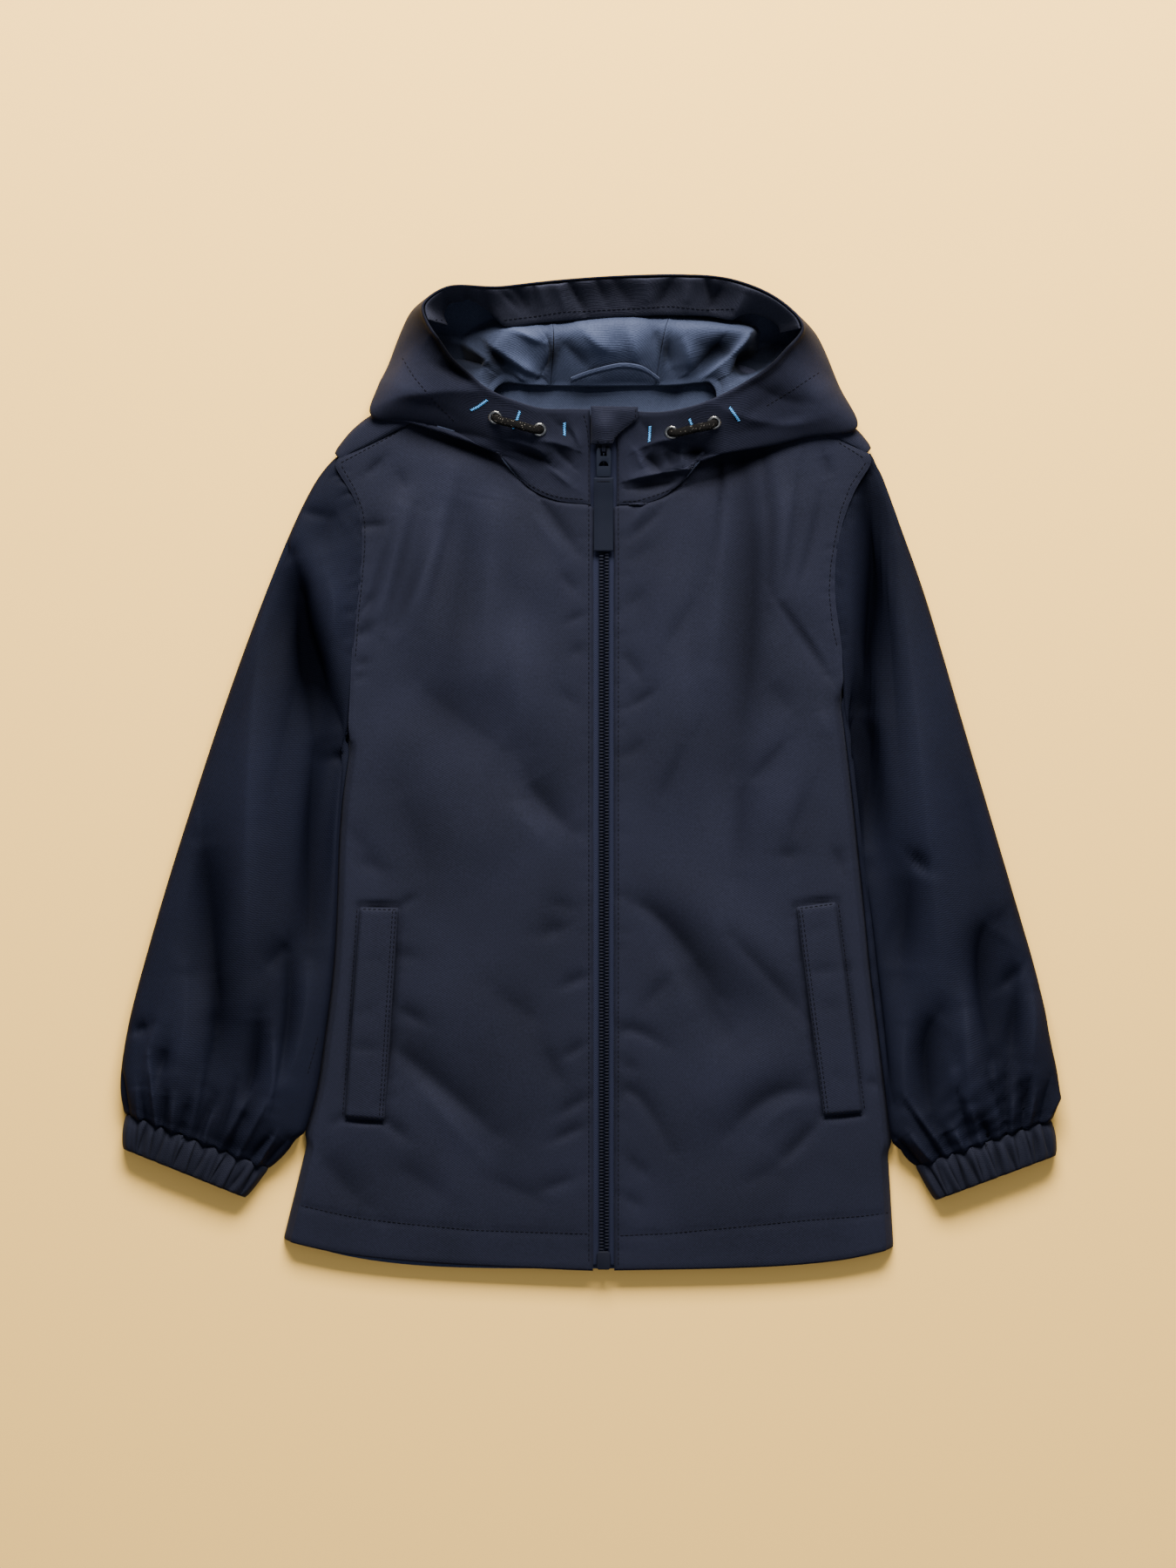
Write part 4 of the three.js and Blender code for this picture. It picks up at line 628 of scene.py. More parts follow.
RIGHT_SLEEVE_CREASES = [
    # the deep valley outside the armhole, steep on the coat's side
    (167, 190, 168, 110, 160, 24, 11, -6, 0.45),
    (165, 40, 168, -5, 168, -54, 8, -3.4),
    (168, -60, 172, -130, 184, -200, 5, -2.6),
    # the long lit fold
    (186, 140, 200, 20, 214, -130, 11, 1.8),
    (193, -50, 207, -60, 3.4, -2.4, 0.5),
    (194, -58, 190, -90, 188, -122, 12, -2.6),
    (244, -90, 237, -116, 246, -172, 9, -3.8, 0.25),
    (250, -130, 264, -117, 4, -1.8, 0.4),
    (258, -132, 257, -152, 256, -172, 5, -2.2),
    (268, -130, 270, -152, 268, -180, 6, 1.8),
    (212, -146, 203, -170, 209, -212, 8, -3.8),
    (219, -176, 224, -202, 5, 1.7),
    (228, -138, 230, -170, 232, -204, 7, 2.4),
    (242, -184, 252, -213, 4, -2.2, 0.3),
    (261, -184, 264, -207, 4, -2, 0.3),
    (192, -150, 191, -180, 192, -206, 7, 1.9),
    (178, 120, 184, 60, 188, 0, 6, -0.8),
    (226, -10, 236, -40, 240, -70, 9, -0.9),
]
print("creases:", len(LEFT_FRONT_CREASES), len(RIGHT_FRONT_CREASES),
      len(LEFT_SLEEVE_CREASES), len(RIGHT_SLEEVE_CREASES))

# %% [markdown]
# ## Gathers and puckers
# Elastic draws the sleeve in at the cuff, so short gathers fan up from it, a few long and many
# short. The cuff itself is pleated between its elastic's stitches. A line of stitching draws
# cloth in as well, only less: small dimples sit across it. These rows are made along a line,
# with seeded chance for their lengths, so that no two are alike and each run gives the same.

# %% Rows that follow a line
def along_line(line, spacing):
    points = [Vector(p) for p in line]
    places = []
    left = spacing / 2
    for a, b in zip(points, points[1:]):
        length = (b - a).length
        while left <= length:
            places.append((a.lerp(b, left / length), (b - a).normalized()))
            left += spacing
        left -= length
    return places


def puckers(line, spacing, length, half, rise):
    rows = []
    for place, run in along_line(line, spacing):
        out = Vector((-run.y, run.x))
        slide = run * random.uniform(-0.3, 0.3) * spacing
        one, other = random.uniform(0.3, 1.0) * length, random.uniform(0.2, 0.9) * length
        tilt = run * random.uniform(-0.35, 0.35) * length
        a, b = place + slide + out * one + tilt, place + slide - out * other - tilt
        rows.append((a.x, a.y, b.x, b.y, half, -rise * random.uniform(0.4, 1.0)))
    return rows


def gathers(line, spacing, fan, reach, half, rise):
    places = along_line(line, spacing)
    rows = []
    for k, (place, run) in enumerate(places):
        share = k / (len(places) - 1)
        turn = math.radians(fan[0] + share * (fan[1] - fan[0]) + random.uniform(-9, 9))
        way = Vector((math.sin(turn), math.cos(turn)))
        length = random.choice([0.35, 0.5, 0.7, 1.0]) * reach
        far = place + way * length
        sign = 1 if k % 2 else -1
        place = place + run * random.uniform(-0.35, 0.35) * spacing
        rows.append((place.x, place.y, far.x, far.y, half * random.uniform(0.8, 1.3),
                     sign * rise * random.uniform(0.6, 1.1), 0.2))
        # and a short one in its root, where the stitches pinch the cloth
        root, tip = place - way * 4, place + way * 7
        rows.append((root.x, root.y, tip.x, tip.y, half * 0.6, sign * rise * random.uniform(0.1, 0.5)))
    return rows


LEFT_CUFF_TOP = [(-282, -207), (-240, -224), (-196, -240)]
LEFT_CUFF_END = [(-285, -228), (-248, -243), (-209, -258)]
RIGHT_CUFF_TOP = [(199, -238), (240, -226), (281, -211)]
RIGHT_CUFF_END = [(210, -259), (246, -248), (284, -232)]
LEFT_SLEEVE_CREASES += gathers(LEFT_CUFF_TOP, 5.4, (-12, 46), 44, 2.4, 1.9)
RIGHT_SLEEVE_CREASES += gathers(RIGHT_CUFF_TOP, 5.4, (-42, 14), 44, 2.4, 1.9)


def pleats(top, end, shares):
    (a, _, b), (c, _, d) = [[Vector(p) for p in line] for line in (top, end)]
    rows = []
    for k, share in enumerate(shares):
        high, low = a.lerp(b, share), c.lerp(d, share + 0.02 * (-1) ** k)
        cut = 0.12 * (k % 3)
        start, stop = high.lerp(low, cut - 0.1), high.lerp(low, 1.08 - 0.1 * (k % 2))
        rows.append((start.x, start.y, stop.x, stop.y, 1.2, -1.8, 0.3))
    return rows


LEFT_CUFF_CREASES = pleats(LEFT_CUFF_TOP, LEFT_CUFF_END,
                           [0.08, 0.15, 0.21, 0.28, 0.37, 0.43, 0.5, 0.58, 0.66, 0.72, 0.8, 0.87, 0.93])
RIGHT_CUFF_CREASES = pleats(RIGHT_CUFF_TOP, RIGHT_CUFF_END,
                            [0.06, 0.13, 0.2, 0.27, 0.34, 0.42, 0.5, 0.56, 0.64, 0.72, 0.79, 0.86, 0.93])
print("with gathers:", len(LEFT_SLEEVE_CREASES), len(RIGHT_SLEEVE_CREASES))

# %% [markdown]
# ## Stitching lines
# Each line below is a row of machine stitches, in millimetres on the cloth. The same line gives
# the shallow groove that thread pulls into the cloth, the small puckers across it, and later
# the stitches themselves.

# %% Where the stitching runs
LEFT_HEM = [(-178, -262), (-159, -266.5), (-139, -270.6), (-109, -274), (-70, -277.7), (1, -280)]
RIGHT_HEM = [(16.5, -281), (47, -279.7), (87, -276), (127, -272), (166, -269), (183, -266.8)]
LEFT_PLACKET = [(-4.2, 220), (-1.4, 209), (-0.6, 198), (-0.6, -300)]
RIGHT_PLACKET = [(17.4, 200), (17.4, -300)]
LEFT_ARMHOLE = [(-152, 189), (-143.3, 174), (-138.4, 161), (-136.8, 151), (-136.8, 138),
                (-138.4, 119), (-140.4, 100), (-142.6, 71)]
RIGHT_ARMHOLE = [(169, 191), (158.6, 175.6), (152.4, 159.5), (149.2, 143), (146.6, 127),
                 (145.6, 110.6), (147.6, 89.6), (150.6, 77)]
LEFT_SHOULDER_SEAM = [(-153, 188.5), (-134, 198.5), (-116, 208.5)]
RIGHT_SHOULDER_SEAM = [(150, 202.5), (161, 195.8), (169, 190.6)]
LEFT_NECK_SEAM = [(-40, 176), (-33, 172), (-25, 168.4), (-17, 166.4), (-2, 165.4)]
RIGHT_NECK_SEAM = [(18.4, 164), (29, 164.6), (39, 167.4), (50, 171.6), (62, 176)]
LEFT_POCKET = [(-139.9, -80.8), (-116.6, -81.4), (-125, -211.2), (-148.9, -209.1)]
RIGHT_POCKET = [(125.6, -80.8), (149.5, -77.6), (165.9, -205.9), (142, -208)]


def beside(line, distance):
    """The same line, moved to its left by a distance in mm."""
    points = [Vector(p) for p in line]
    moved = []
    for k, point in enumerate(points):
        run = (points[min(k + 1, len(points) - 1)] - points[max(k - 1, 0)]).normalized()
        moved.append(tuple(point + Vector((-run.y, run.x)) * distance))
    return moved


def groove(line, half=1.5, rise=-0.45):
    return [(*a, *b, half, rise) for a, b in zip(line, line[1:])]


def outline(corners):
    """A deep groove around a pocket, just inside its edge, painted as a dark line of shade."""
    ring = corners + corners[:1]
    return [row for side in zip(ring, ring[1:]) for row in groove(beside(list(side), 0.7), 1.5, -2.4)]


LEFT_FRONT_CREASES += puckers(LEFT_PLACKET[2:], 15, 9, 2.4, 0.35) + puckers(LEFT_HEM, 16, 8, 2.4, 0.3)
RIGHT_FRONT_CREASES += puckers(RIGHT_PLACKET, 15, 9, 2.4, 0.35) + puckers(RIGHT_HEM, 16, 8, 2.4, 0.3)
LEFT_FRONT_CREASES += puckers(LEFT_ARMHOLE, 10, 7, 1.8, 0.4) + puckers(LEFT_POCKET[1:3], 12, 9, 2.2, 0.4)
RIGHT_FRONT_CREASES += puckers(RIGHT_ARMHOLE, 10, 7, 1.8, 0.4)
RIGHT_FRONT_CREASES += puckers(RIGHT_POCKET[:1] + RIGHT_POCKET[3:], 12, 9, 2.2, 0.4)
LEFT_FRONT_CREASES += outline(LEFT_POCKET) + groove(LEFT_HEM) + groove(LEFT_NECK_SEAM, 1.4, -0.8)
RIGHT_FRONT_CREASES += outline(RIGHT_POCKET) + groove(RIGHT_HEM) + groove(RIGHT_NECK_SEAM, 1.4, -0.8)
LEFT_SLEEVE_CREASES += puckers(beside(LEFT_ARMHOLE, -4), 8, 7, 1.7, 0.9)
RIGHT_SLEEVE_CREASES += puckers(beside(RIGHT_ARMHOLE, 4), 8, 7, 1.7, 0.9)
print("front creases with puckers:", len(LEFT_FRONT_CREASES), len(RIGHT_FRONT_CREASES))

# %% [markdown]
# ## Creases in the hood and on the small pieces
# The hood is folded down on itself, so its panels are crumpled inside and bunched beside the zip.
# On a hood panel one row counts for both sides of the cloth, because it is one layer: a ridge seen
# inside is a trough outside. The sides that the picture hides get a few long soft folds as well,
# because the coat is looked at from all around.

# %% Rows for the hood, the facing, the welts and the hidden sides
HOOD_CREASES = [
    # the panels inside sink at both sides, with painted shade in the sinks, and are crumpled
    (-78, 262, -58, 254, -38, 243, 11, -3.4),
    (60, 262, 84, 254, 106, 247, 9, -2.6),
    (-14, 258, 6, 260, 26, 258, 11, 1.8),
    (-100, 266, -84, 256, -62, 243, 14, -5.4),
    (124, 264, 104, 254, 78, 241, 14, -4.6),
    (-52, 269, -40, 267, -27, 262, 3, 3.2, 0.4),
    (-26, 264, -23, 255, -29, 245, 3.4, -5, 0.4),
    (-62, 262, -48, 252, -31, 243, 3.2, 4.2, 0.5),
    (-62, 257, -56, 251, -53, 244, 3.6, -4.2, 0.3),
    (-88, 260, -77, 254, -64, 246, 4, -4.8, 0.4),
    (-82, 265, -72, 259, -63, 250, 3.4, 3.4, 0.3),
    (-96, 250, -84, 243, -70, 238, 4, -3, 0.3),
    (-48, 247, -40, 240, -34, 236, 3.6, 2.4, 0.3),
    (25, 272, 26, 262, 29, 250, 4.4, 2.6, 0.3),
    (-5, 270, 3, 264, 12, 258, 4.5, 3, 0.3),
    (-18, 263, -8, 254, 0, 246, 6, -3, 0.2),
    (38, 270, 45, 258, 50, 246, 5, -3.4, 0.2),
    (56, 266, 60, 256, 60, 244, 4.6, 2.6, 0.2),
    (98, 269, 86, 254, 67, 240, 4, 4.4, 0.4),
    (108, 259, 98, 251, 88, 245, 6, -6, 0.3),
    (80, 264, 73, 254, 63, 246, 4.6, -3.6, 0.3),
    (110, 250, 100, 243, 90, 238, 4, 2.6, 0.3),
    # the bunched cloth between the zip and the hood's right corner
    (56, 199, 56, 186, 2.6, 2.6, 0.4),
    (56, 186, 72, 187, 2.6, 2.8, 0.4),
    (59, 194, 72, 194, 4.2, -5),
    (33, 193, 44, 183, 4.2, -4.2, 0.3),
    (29, 197, 33, 185, 3, 2.2),
    (22, 178, 37, 182, 62, 186, 3, 2.8, 0.5),
    (23, 173, 40, 175, 60, 179, 3.6, -3.4, 0.3),
    (46, 196, 50, 186, 3, -2, 0.3),
    # and on the left, under the drawcord
    (-60, 204, -38, 200, -26, 191, 3.4, 2.6, 0.4),
    (-52, 196, -34, 192, -22, 186, 4.4, -3.6, 0.2),
    (-21, 198, -10, 186, 2.8, -2.2, 0.4),
    (-27, 188, -10, 174, 3.4, 1.6, 0.3),
    # the outside, beside the drawcord
    (-132, 223, -98, 232, -60, 231, 6, 2.4, 0.2),
    (-118, 213, -84, 207, -46, 202, 5, -2.2, 0.2),
    (-104, 262, -112, 250, -118, 236, 7, 1.2),
    (76, 224, 110, 213, 142, 217, 5, 1.8, 0.2),
    (98, 238, 120, 226, 142, 228, 6, -1.8, 0.2),
    (-140, 242, -110, 234, -84, 222, 9, 1.4),
    (-128, 226, -104, 226, -78, 214, 6, -1.2, 0.2),
    (-34, 203, -20, 201, -9, 197, 2.6, 1.8, 0.4),
    (-12, 212, -8, 204, -6, 197, 2.4, 1.6, 0.4),
    (-22, 214, -14, 208, -9, 202, 3, -1.4, 0.3),
    (30, 214, 36, 206, 34, 198, 3, -1.4, 0.3),
    (28, 196, 48, 203, 68, 199, 2.8, 1.9, 0.4),
    (46, 198, 56, 194, 66, 195, 2.6, -1.6, 0.2),
    (84, 206, 108, 212, 140, 224, 7, -1.4),
    (120, 236, 104, 224, 86, 212, 5, -1, 0.2),
    (150, 240, 138, 228, 128, 214, 7, 1.2),
]
FACING_CREASES = [
    (-76, 292, -70, 268, 2.2, -2.4, 0.4),
    (-34, 298, -32, 277, 1, -1.2),
    (4, 299, 10, 284, 2.4, -2, 0.3),
    (70, 300, 74, 284, 2.4, -2.4, 0.4),
    (-54, 292, -42, 280, 2, -1.6, 0.4),
    (-13, 298, -2, 278, 2.4, -2.8, 0.4),
    (-20, 298, -14, 280, 3, 1.6),
    (-48, 297, -36, 279, 3.4, -2.2, 0.3),
    (-30, 296, -27, 282, 2.8, 1.2),
    (-66, 294, -60, 276, 4, -1.4, 0.3),
    (-88, 290, -78, 272, 3.6, -2, 0.4),
    (14, 300, 26, 282, 4, -1.8, 0.2),
    (34, 300, 36, 284, 3.6, 1.4),
    (50, 300, 40, 282, 3.4, -2.4, 0.3),
    (60, 298, 58, 284, 3, 1.6),
    (80, 296, 72, 280, 4, -2.4, 0.3),
    (94, 292, 88, 278, 3.6, 1.4),
]
POCKET_CREASES = [
    (-146, -166, -128, -168, 3, -0.9, 0.3),
    (-144, -146, -130, -142, 4, -0.5),
    (-140, -112, -124, -114, 4.5, -0.4),
    (-130, -204, -124, -196, 2.6, -0.7),
    (134, -121, 151, -119, 3, -0.9, 0.3),
    (140, -140, 152, -143, 4, -0.5),
    (132, -96, 146, -92, 4, -0.4),
    (146, -182, 156, -186, 4, -0.4),
]
HIDDEN_CREASES = [
    # the back's inner side, seen in the neck
    (-46, 225, 14, 228, 76, 225, 12, 1.2),
    (-42, 236, -30, 228, -18, 221, 3.6, 2.8, 0.3),
    (-20, 226, -2, 231, 14, 227, 4.6, 1.6),
    (38, 237, 50, 231, 64, 222, 4, 2.8, 0.3),
    (-34, 234, -16, 236, 2, 234, 3, -1.6, 0.3),
    (-90, 150, -40, 130, 20, 150, 9, -1),
    (-120, 60, -60, 30, 0, 50, 12, -0.9, 0.2),
    (100, 120, 110, 60, 90, 0, 10, -1),
    (30, 20, 60, -40, 50, -110, 11, -0.9),
    (-140, -60, -90, -100, -40, -90, 9, -0.9, 0.2),
    (120, -120, 80, -170, 20, -180, 9, -1),
    (-110, -180, -60, -220, 0, -230, 10, -0.8),
    (150, -190, 120, -240, 70, -260, 8, -0.9),
    (-190, 80, -205, 0, -215, -90, 10, -1),
    (-236, -60, -246, -120, -238, -190, 8, -1.1),
    (-180, -90, -196, -140, -206, -210, 7, -1),
    (190, 80, 204, 0, 212, -90, 10, -1),
    (236, -60, 246, -120, 240, -190, 8, -1.1),
    (184, -80, 192, -140, 206, -204, 7, -1),
]
CREASES = {
    "front_left": LEFT_FRONT_CREASES,
    "front_right": RIGHT_FRONT_CREASES,
    "sleeve_left": LEFT_SLEEVE_CREASES,
    "sleeve_right": RIGHT_SLEEVE_CREASES,
    "cuff_left": LEFT_CUFF_CREASES,
    "cuff_right": RIGHT_CUFF_CREASES,
    "hood_side_left": HOOD_CREASES,
    "hood_centre": HOOD_CREASES,
    "hood_side_right": HOOD_CREASES,
    "hood_facing": FACING_CREASES,
    "pocket_welt_left": POCKET_CREASES,
    "pocket_welt_right": POCKET_CREASES,
}
print("hood creases:", len(HOOD_CREASES), "hidden sides:", len(HIDDEN_CREASES))

# %% [markdown]
# ## Closing the seams
# Solids keep a small gap between two parts, and a real seam has none. A wider sheet would only
# push through its neighbour. Instead, each point near a seam looks for the nearest point of the
# other sheet and for the edge point of its own, and moves by half of the gap between them, less
# and less further in. The moves are averaged with their neighbours', so that no point jumps.

# %% Points, edges and nearest neighbours
def step_up(value, low, high):
    share = np.clip((value - low) / (high - low), 0, 1)
    return share * share * (3 - 2 * share)


def tree_of(spots):
    tree = KDTree(len(spots))
    for k, spot in enumerate(spots):
        tree.insert(spot, k)
    tree.balance()
    return tree


def nearest(tree, spots):
    return np.array([tree.find(spot)[1] for spot in spots])


def evened(data, move, rounds):
    ends = np.empty(len(data.edges) * 2, dtype=int)
    data.edges.foreach_get("vertices", ends)
    a, b = ends.reshape(-1, 2).T
    count = np.bincount(ends, minlength=len(move))[:, None]
    for _ in range(rounds):
        around = np.zeros_like(move)
        np.add.at(around, a, move[b])
        np.add.at(around, b, move[a])
        move = 0.5 * move + 0.5 * around / count
    return move


print("a smooth step at a quarter:", step_up(0.25, 0, 1))


# %% Close the seams
def close_seam(one, other, seen_from_above, widest, reach, lap, up_to=400):
    """Gaps up to the widest are closed, within a reach from the edge, with a lap, all in mm."""
    kept = [read_points(sheets[node].data) / MM for node in (one, other)]
    spots = [points * (1, 1, 0) if seen_from_above else points for points in kept]
    trees_of_two = [tree_of(points) for points in spots]
    found = 0
    for k, node in enumerate((one, other)):
        mine, theirs = trees_of_two[k], trees_of_two[1 - k]
        close = np.flatnonzero([theirs.find(spot)[2] < widest + reach for spot in spots[k]])
        if not len(close):
            continue
        across = spots[1 - k][nearest(theirs, spots[k][close])]
        edge = spots[k][nearest(mine, across)]
        gap = across - edge
        width = np.linalg.norm(gap, axis=1)
        found = max(found, width[width < widest].max(initial=0))
        away = np.linalg.norm(spots[k][close] - edge, axis=1)
        share = (1 - step_up(away, 0.15 * reach, reach)) * (1 - step_up(width, 0.75 * widest, widest))
        share *= 1 - step_up(kept[k][close, 1], up_to - 5, up_to + 5)
        way = gap / np.maximum(width, 0.05)[:, None]
        move = np.zeros_like(kept[k])
        move[close] = (0.5 * gap + way * lap) * share[:, None]
        write_points(sheets[node].data, (kept[k] + evened(sheets[node].data, move, 4)) * MM)
    print(one, "to", other, "widest gap closed in mm", round(float(found), 1))


for name in ("left", "right"):
    close_seam("front_" + name, "sleeve_" + name, True, 7.0, 14.0, 0.5)
    close_seam("sleeve_" + name, "cuff_" + name, False, 4.0, 6.0, 0.6)
    close_seam("back_shoulder_" + name, "sleeve_" + name, True, 4.0, 8.0, 0.25)
    close_seam("back_shoulder_" + name, "front_" + name, False, 5.0, 9.0, 0.1)
    close_seam("hood_side_" + name, "hood_centre", False, 3.0, 6.0, 0.05)
    close_seam("hood_side_" + name, "front_" + name, False, 5.5, 9.0, 0.0, 188)

# the back reaches a little further under the hood, so that no floor shows in the neck
back = sheets["back_panel"].data
points = read_points(back)
points[:, 1] += 6 * MM * step_up(points[:, 1] / MM, 216, 236)
write_points(back, points)
print("back panel reaches to y in mm:", round(float(points[:, 1].max()) / MM, 1))

# %% [markdown]
# ## Pressing the creases in
# Every point moves along its own normal, by what the rows say at its place. Laid cloth can't sink
# below the layer that it rests on, so a trough stops there. Near a cut edge the cloth is turned
# under and stitched, so its last millimetre dips. Along the zip the fronts reach a little further
# in than their solids, up to where the tape shows. Sleeves are slacker than fronts, so their rows
# count for more.

# %% Edges and normals
ZIP_X = 8.4
TURN_DIP = 0.55
TURN_WIDTH = 1.6
PLACKET_REACH = 1.7
LAYER_HEIGHT = 3.0
CLOTH_GAIN = {"fron": 1.3, "slee": 1.8}


def normals_of(data):
    normals = np.empty(len(data.vertices) * 3)
    data.vertex_normals.foreach_get("vector", normals)
    return normals.reshape(-1, 3)


def edge_uses(data):
    """How many faces use each edge: one at the border of a sheet, two inside it."""
    uses = {}
    for polygon in data.polygons:
        for key in polygon.edge_keys:
            uses[key] = uses.get(key, 0) + 1
    return uses


def border_of(uses):
    return sorted({v for key, count in uses.items() if count == 1 for v in key})


def edge_distance(data, points):
    tree = tree_of(points[border_of(edge_uses(data))])
    return np.array([tree.find(p)[2] for p in points])


print("points on the chin guard's border:", len(border_of(edge_uses(sheets["chin_guard"].data))))

# %% Press the creases in
for node in PIECES:
    data = sheets[node].data
    points = read_points(data)
    normals = normals_of(data)
    flat = points[:, :2] / MM
    top = step_up(normals[:, 2], 0.05, 0.45)
    under = step_up(-normals[:, 2], 0.05, 0.45)
    # a trough rests on the layer below it, or on the table
    lowest = np.where(top > 0, np.minimum(points[:, 2], LAYER_HEIGHT * MM), 0)
    from_edge = edge_distance(data, points) / MM
    hood_panel = node == "hood_centre" or node.startswith("hood_side")
    rise = np.zeros(len(points))
    if node in CREASES:
        heights = crease_heights(flat, CREASES[node])
        rise += heights * (top - under if hood_panel else top)
    if not hood_panel and node not in ("front_left", "front_right"):
        rise += crease_heights(flat, HIDDEN_CREASES) * under
    seen_inside = hood_panel or node == "back_panel"
    # the crease height, which the cloth's material turns into painted shade in troughs and a painted
    # highlight on ridges
    fold = data.attributes.new("fold", "FLOAT", "POINT")
    fold.data.foreach_set("value", rise * (top - under * seen_inside))
    rise *= CLOTH_GAIN.get(node[:4], 1)
    if hood_panel:
        rise *= step_up(from_edge, 0.5, 5)
    dip = TURN_DIP * np.exp(-(from_edge / TURN_WIDTH) ** 2)
    points += normals * ((rise - dip) * MM)[:, None]
    if node.startswith("front"):
        away = np.abs(flat[:, 0] - ZIP_X)
        reach = PLACKET_REACH * np.clip(1 - (away - 8) / 12, 0, 1) ** 2
        points[:, 0] += np.sign(ZIP_X - flat[:, 0]) * reach * MM
    points[:, 2] = np.maximum(points[:, 2], lowest)
    write_points(data, points)
    print(node, "highest crease in mm", round(rise.max(), 1), "deepest", round(rise.min(), 1))

# %% [markdown]
# ## How the cloth was cut
# A gathered cuff is cut longer than it lies.

# %% Cut sizes
CUTS = {
    "front_left": (0.205, 0.525, 0.080, "laid"),
    "front_right": (0.195, 0.525, 0.078, "laid"),
    "back_panel": (0.375, 0.525, 0.167, "laid"),
    "back_shoulder_left": (0.035, 0.090, 0.0028, "folded"),
    "back_shoulder_right": (0.035, 0.090, 0.0025, "folded"),
    "sleeve_left": (0.340, 0.400, 0.078, "laid"),
    "sleeve_right": (0.330, 0.400, 0.072, "laid"),
    "cuff_left": (0.230, 0.022, None, "gathered"),
    "cuff_right": (0.230, 0.022, None, "gathered"),
    "hood_side_left": (0.165, 0.200, 0.0195, "folded"),
    "hood_centre": (0.100, 0.120, 0.0094, "folded"),
    "hood_side_right": (0.170, 0.205, 0.0208, "folded"),
    "hood_facing": (0.030, 0.250, 0.0060, "folded"),
    "pocket_welt_left": (0.024, 0.131, None, "laid"),
    "pocket_welt_right": (0.024, 0.131, None, "laid"),
    "chin_guard": (0.031, 0.026, 0.00060, "folded"),
    "hanger_loop": (0.010, 0.060, 0.00034, "folded"),
}
print("largest cut, in m:", max(CUTS.values(), key=lambda cut: cut[0] * cut[1])[:2])

# %% [markdown]
# ## Grain and wall
# The weave needs to follow the cloth, so each sheet gets a UV map in metres: along and across its
# own grain, and down its sides where it bends towards the table. An unwrap would turn each piece
# its own way. Solidify then gives the wall, and the inner faces take the second material where
# the coated side can be seen.

# %% Grain and wall
SHELL_WALL = 0.9
GRAIN_BEND = 25
SLEEVE_TILT = {"sleeve_left": -20, "sleeve_right": 20, "cuff_left": -22, "cuff_right": 22}


def map_grain(data, tilt):
    points = read_points(data)
    corner = np.empty(len(data.loops), dtype=int)
    data.loops.foreach_get("vertex_index", corner)
    turn = math.radians(tilt)
    across = points[:, 0] * math.cos(turn) + points[:, 1] * math.sin(turn)
    along = points[:, 1] * math.cos(turn) - points[:, 0] * math.sin(turn)
    side = np.tanh((across - across.mean()) / (GRAIN_BEND * MM))
    grain = np.column_stack([across - side * points[:, 2], along])[corner]
    data.uv_layers.new(name="grain").data.foreach_set("uv", grain.ravel())


def add_wall(piece, thickness, inner_material):
    walls = piece.modifiers.new("wall", "SOLIDIFY")
    walls.thickness = thickness * MM
    walls.offset = -1
    walls.use_even_offset = False
    walls.material_offset = inner_material
    walls.material_offset_rim = 0
    apply_modifier(piece, walls)
    piece.data.shade_smooth()


print("threads across a front:", round(0.205 / (YARN * MM)))

# %% [markdown]
# ## The navy band inside the hood
# A facing of the navy cloth is turned in around the face opening. Only its middle is a piece of
# its own here, and at the sides the inner faces near the opening take the navy. The band's width
# is counted along the cloth, edge by edge from the opening, because the hood is folded there and
# a distance in the air would jump from fold to fold.

# %% Faces of the band
OPENING_BAND = {"hood_side_left": 37, "hood_side_right": 32}
OPENING_HEIGHT = 24
COLLAR_TOP = 200


def face_band(side, others):
    data = sheets[side].data
    points = read_points(data)
    uses = edge_uses(data)
    links = [[] for _ in points]
    for a, b in uses:
        length = float(np.linalg.norm(points[a] - points[b]))
        links[a].append((b, length))
        links[b].append((a, length))
    seams = tree_of(np.concatenate([read_points(sheets[other].data) for other in others]))
    rim = [v for v in border_of(uses)
           if points[v, 2] > OPENING_HEIGHT * MM and seams.find(points[v])[2] > 2.5 * MM]
    reach = {v: 0.0 for v in rim}
    waiting = [(0.0, v) for v in rim]
    heapq.heapify(waiting)
    while waiting:
        length, v = heapq.heappop(waiting)
        if length > reach[v]:
            continue
        for other, step in links[v]:
            total = length + step
            if total < OPENING_BAND[side] * MM and total < reach.get(other, 1.0):
                reach[other] = total
                heapq.heappush(waiting, (total, other))
    return [k for k, polygon in enumerate(data.polygons) if all(v in reach for v in polygon.vertices)]


bands = {side: face_band(side, ["hood_centre", "back_panel", "front_left", "front_right"])
         for side in OPENING_BAND}
print("faces in the facing bands:", {side: len(band) for side, band in bands.items()})

# %% [markdown]
# ## The finished shells
# The collar part of a hood side, at the neck, is navy on both sides.

# %% Finish each sheet
CLOTHS = {"cuff_left": cuff_cloth, "cuff_right": cuff_cloth, "sleeve_left": sleeve_cloth,
          "sleeve_right": sleeve_cloth, "hood_facing": facing_cloth, "hanger_loop": inside_cloth}

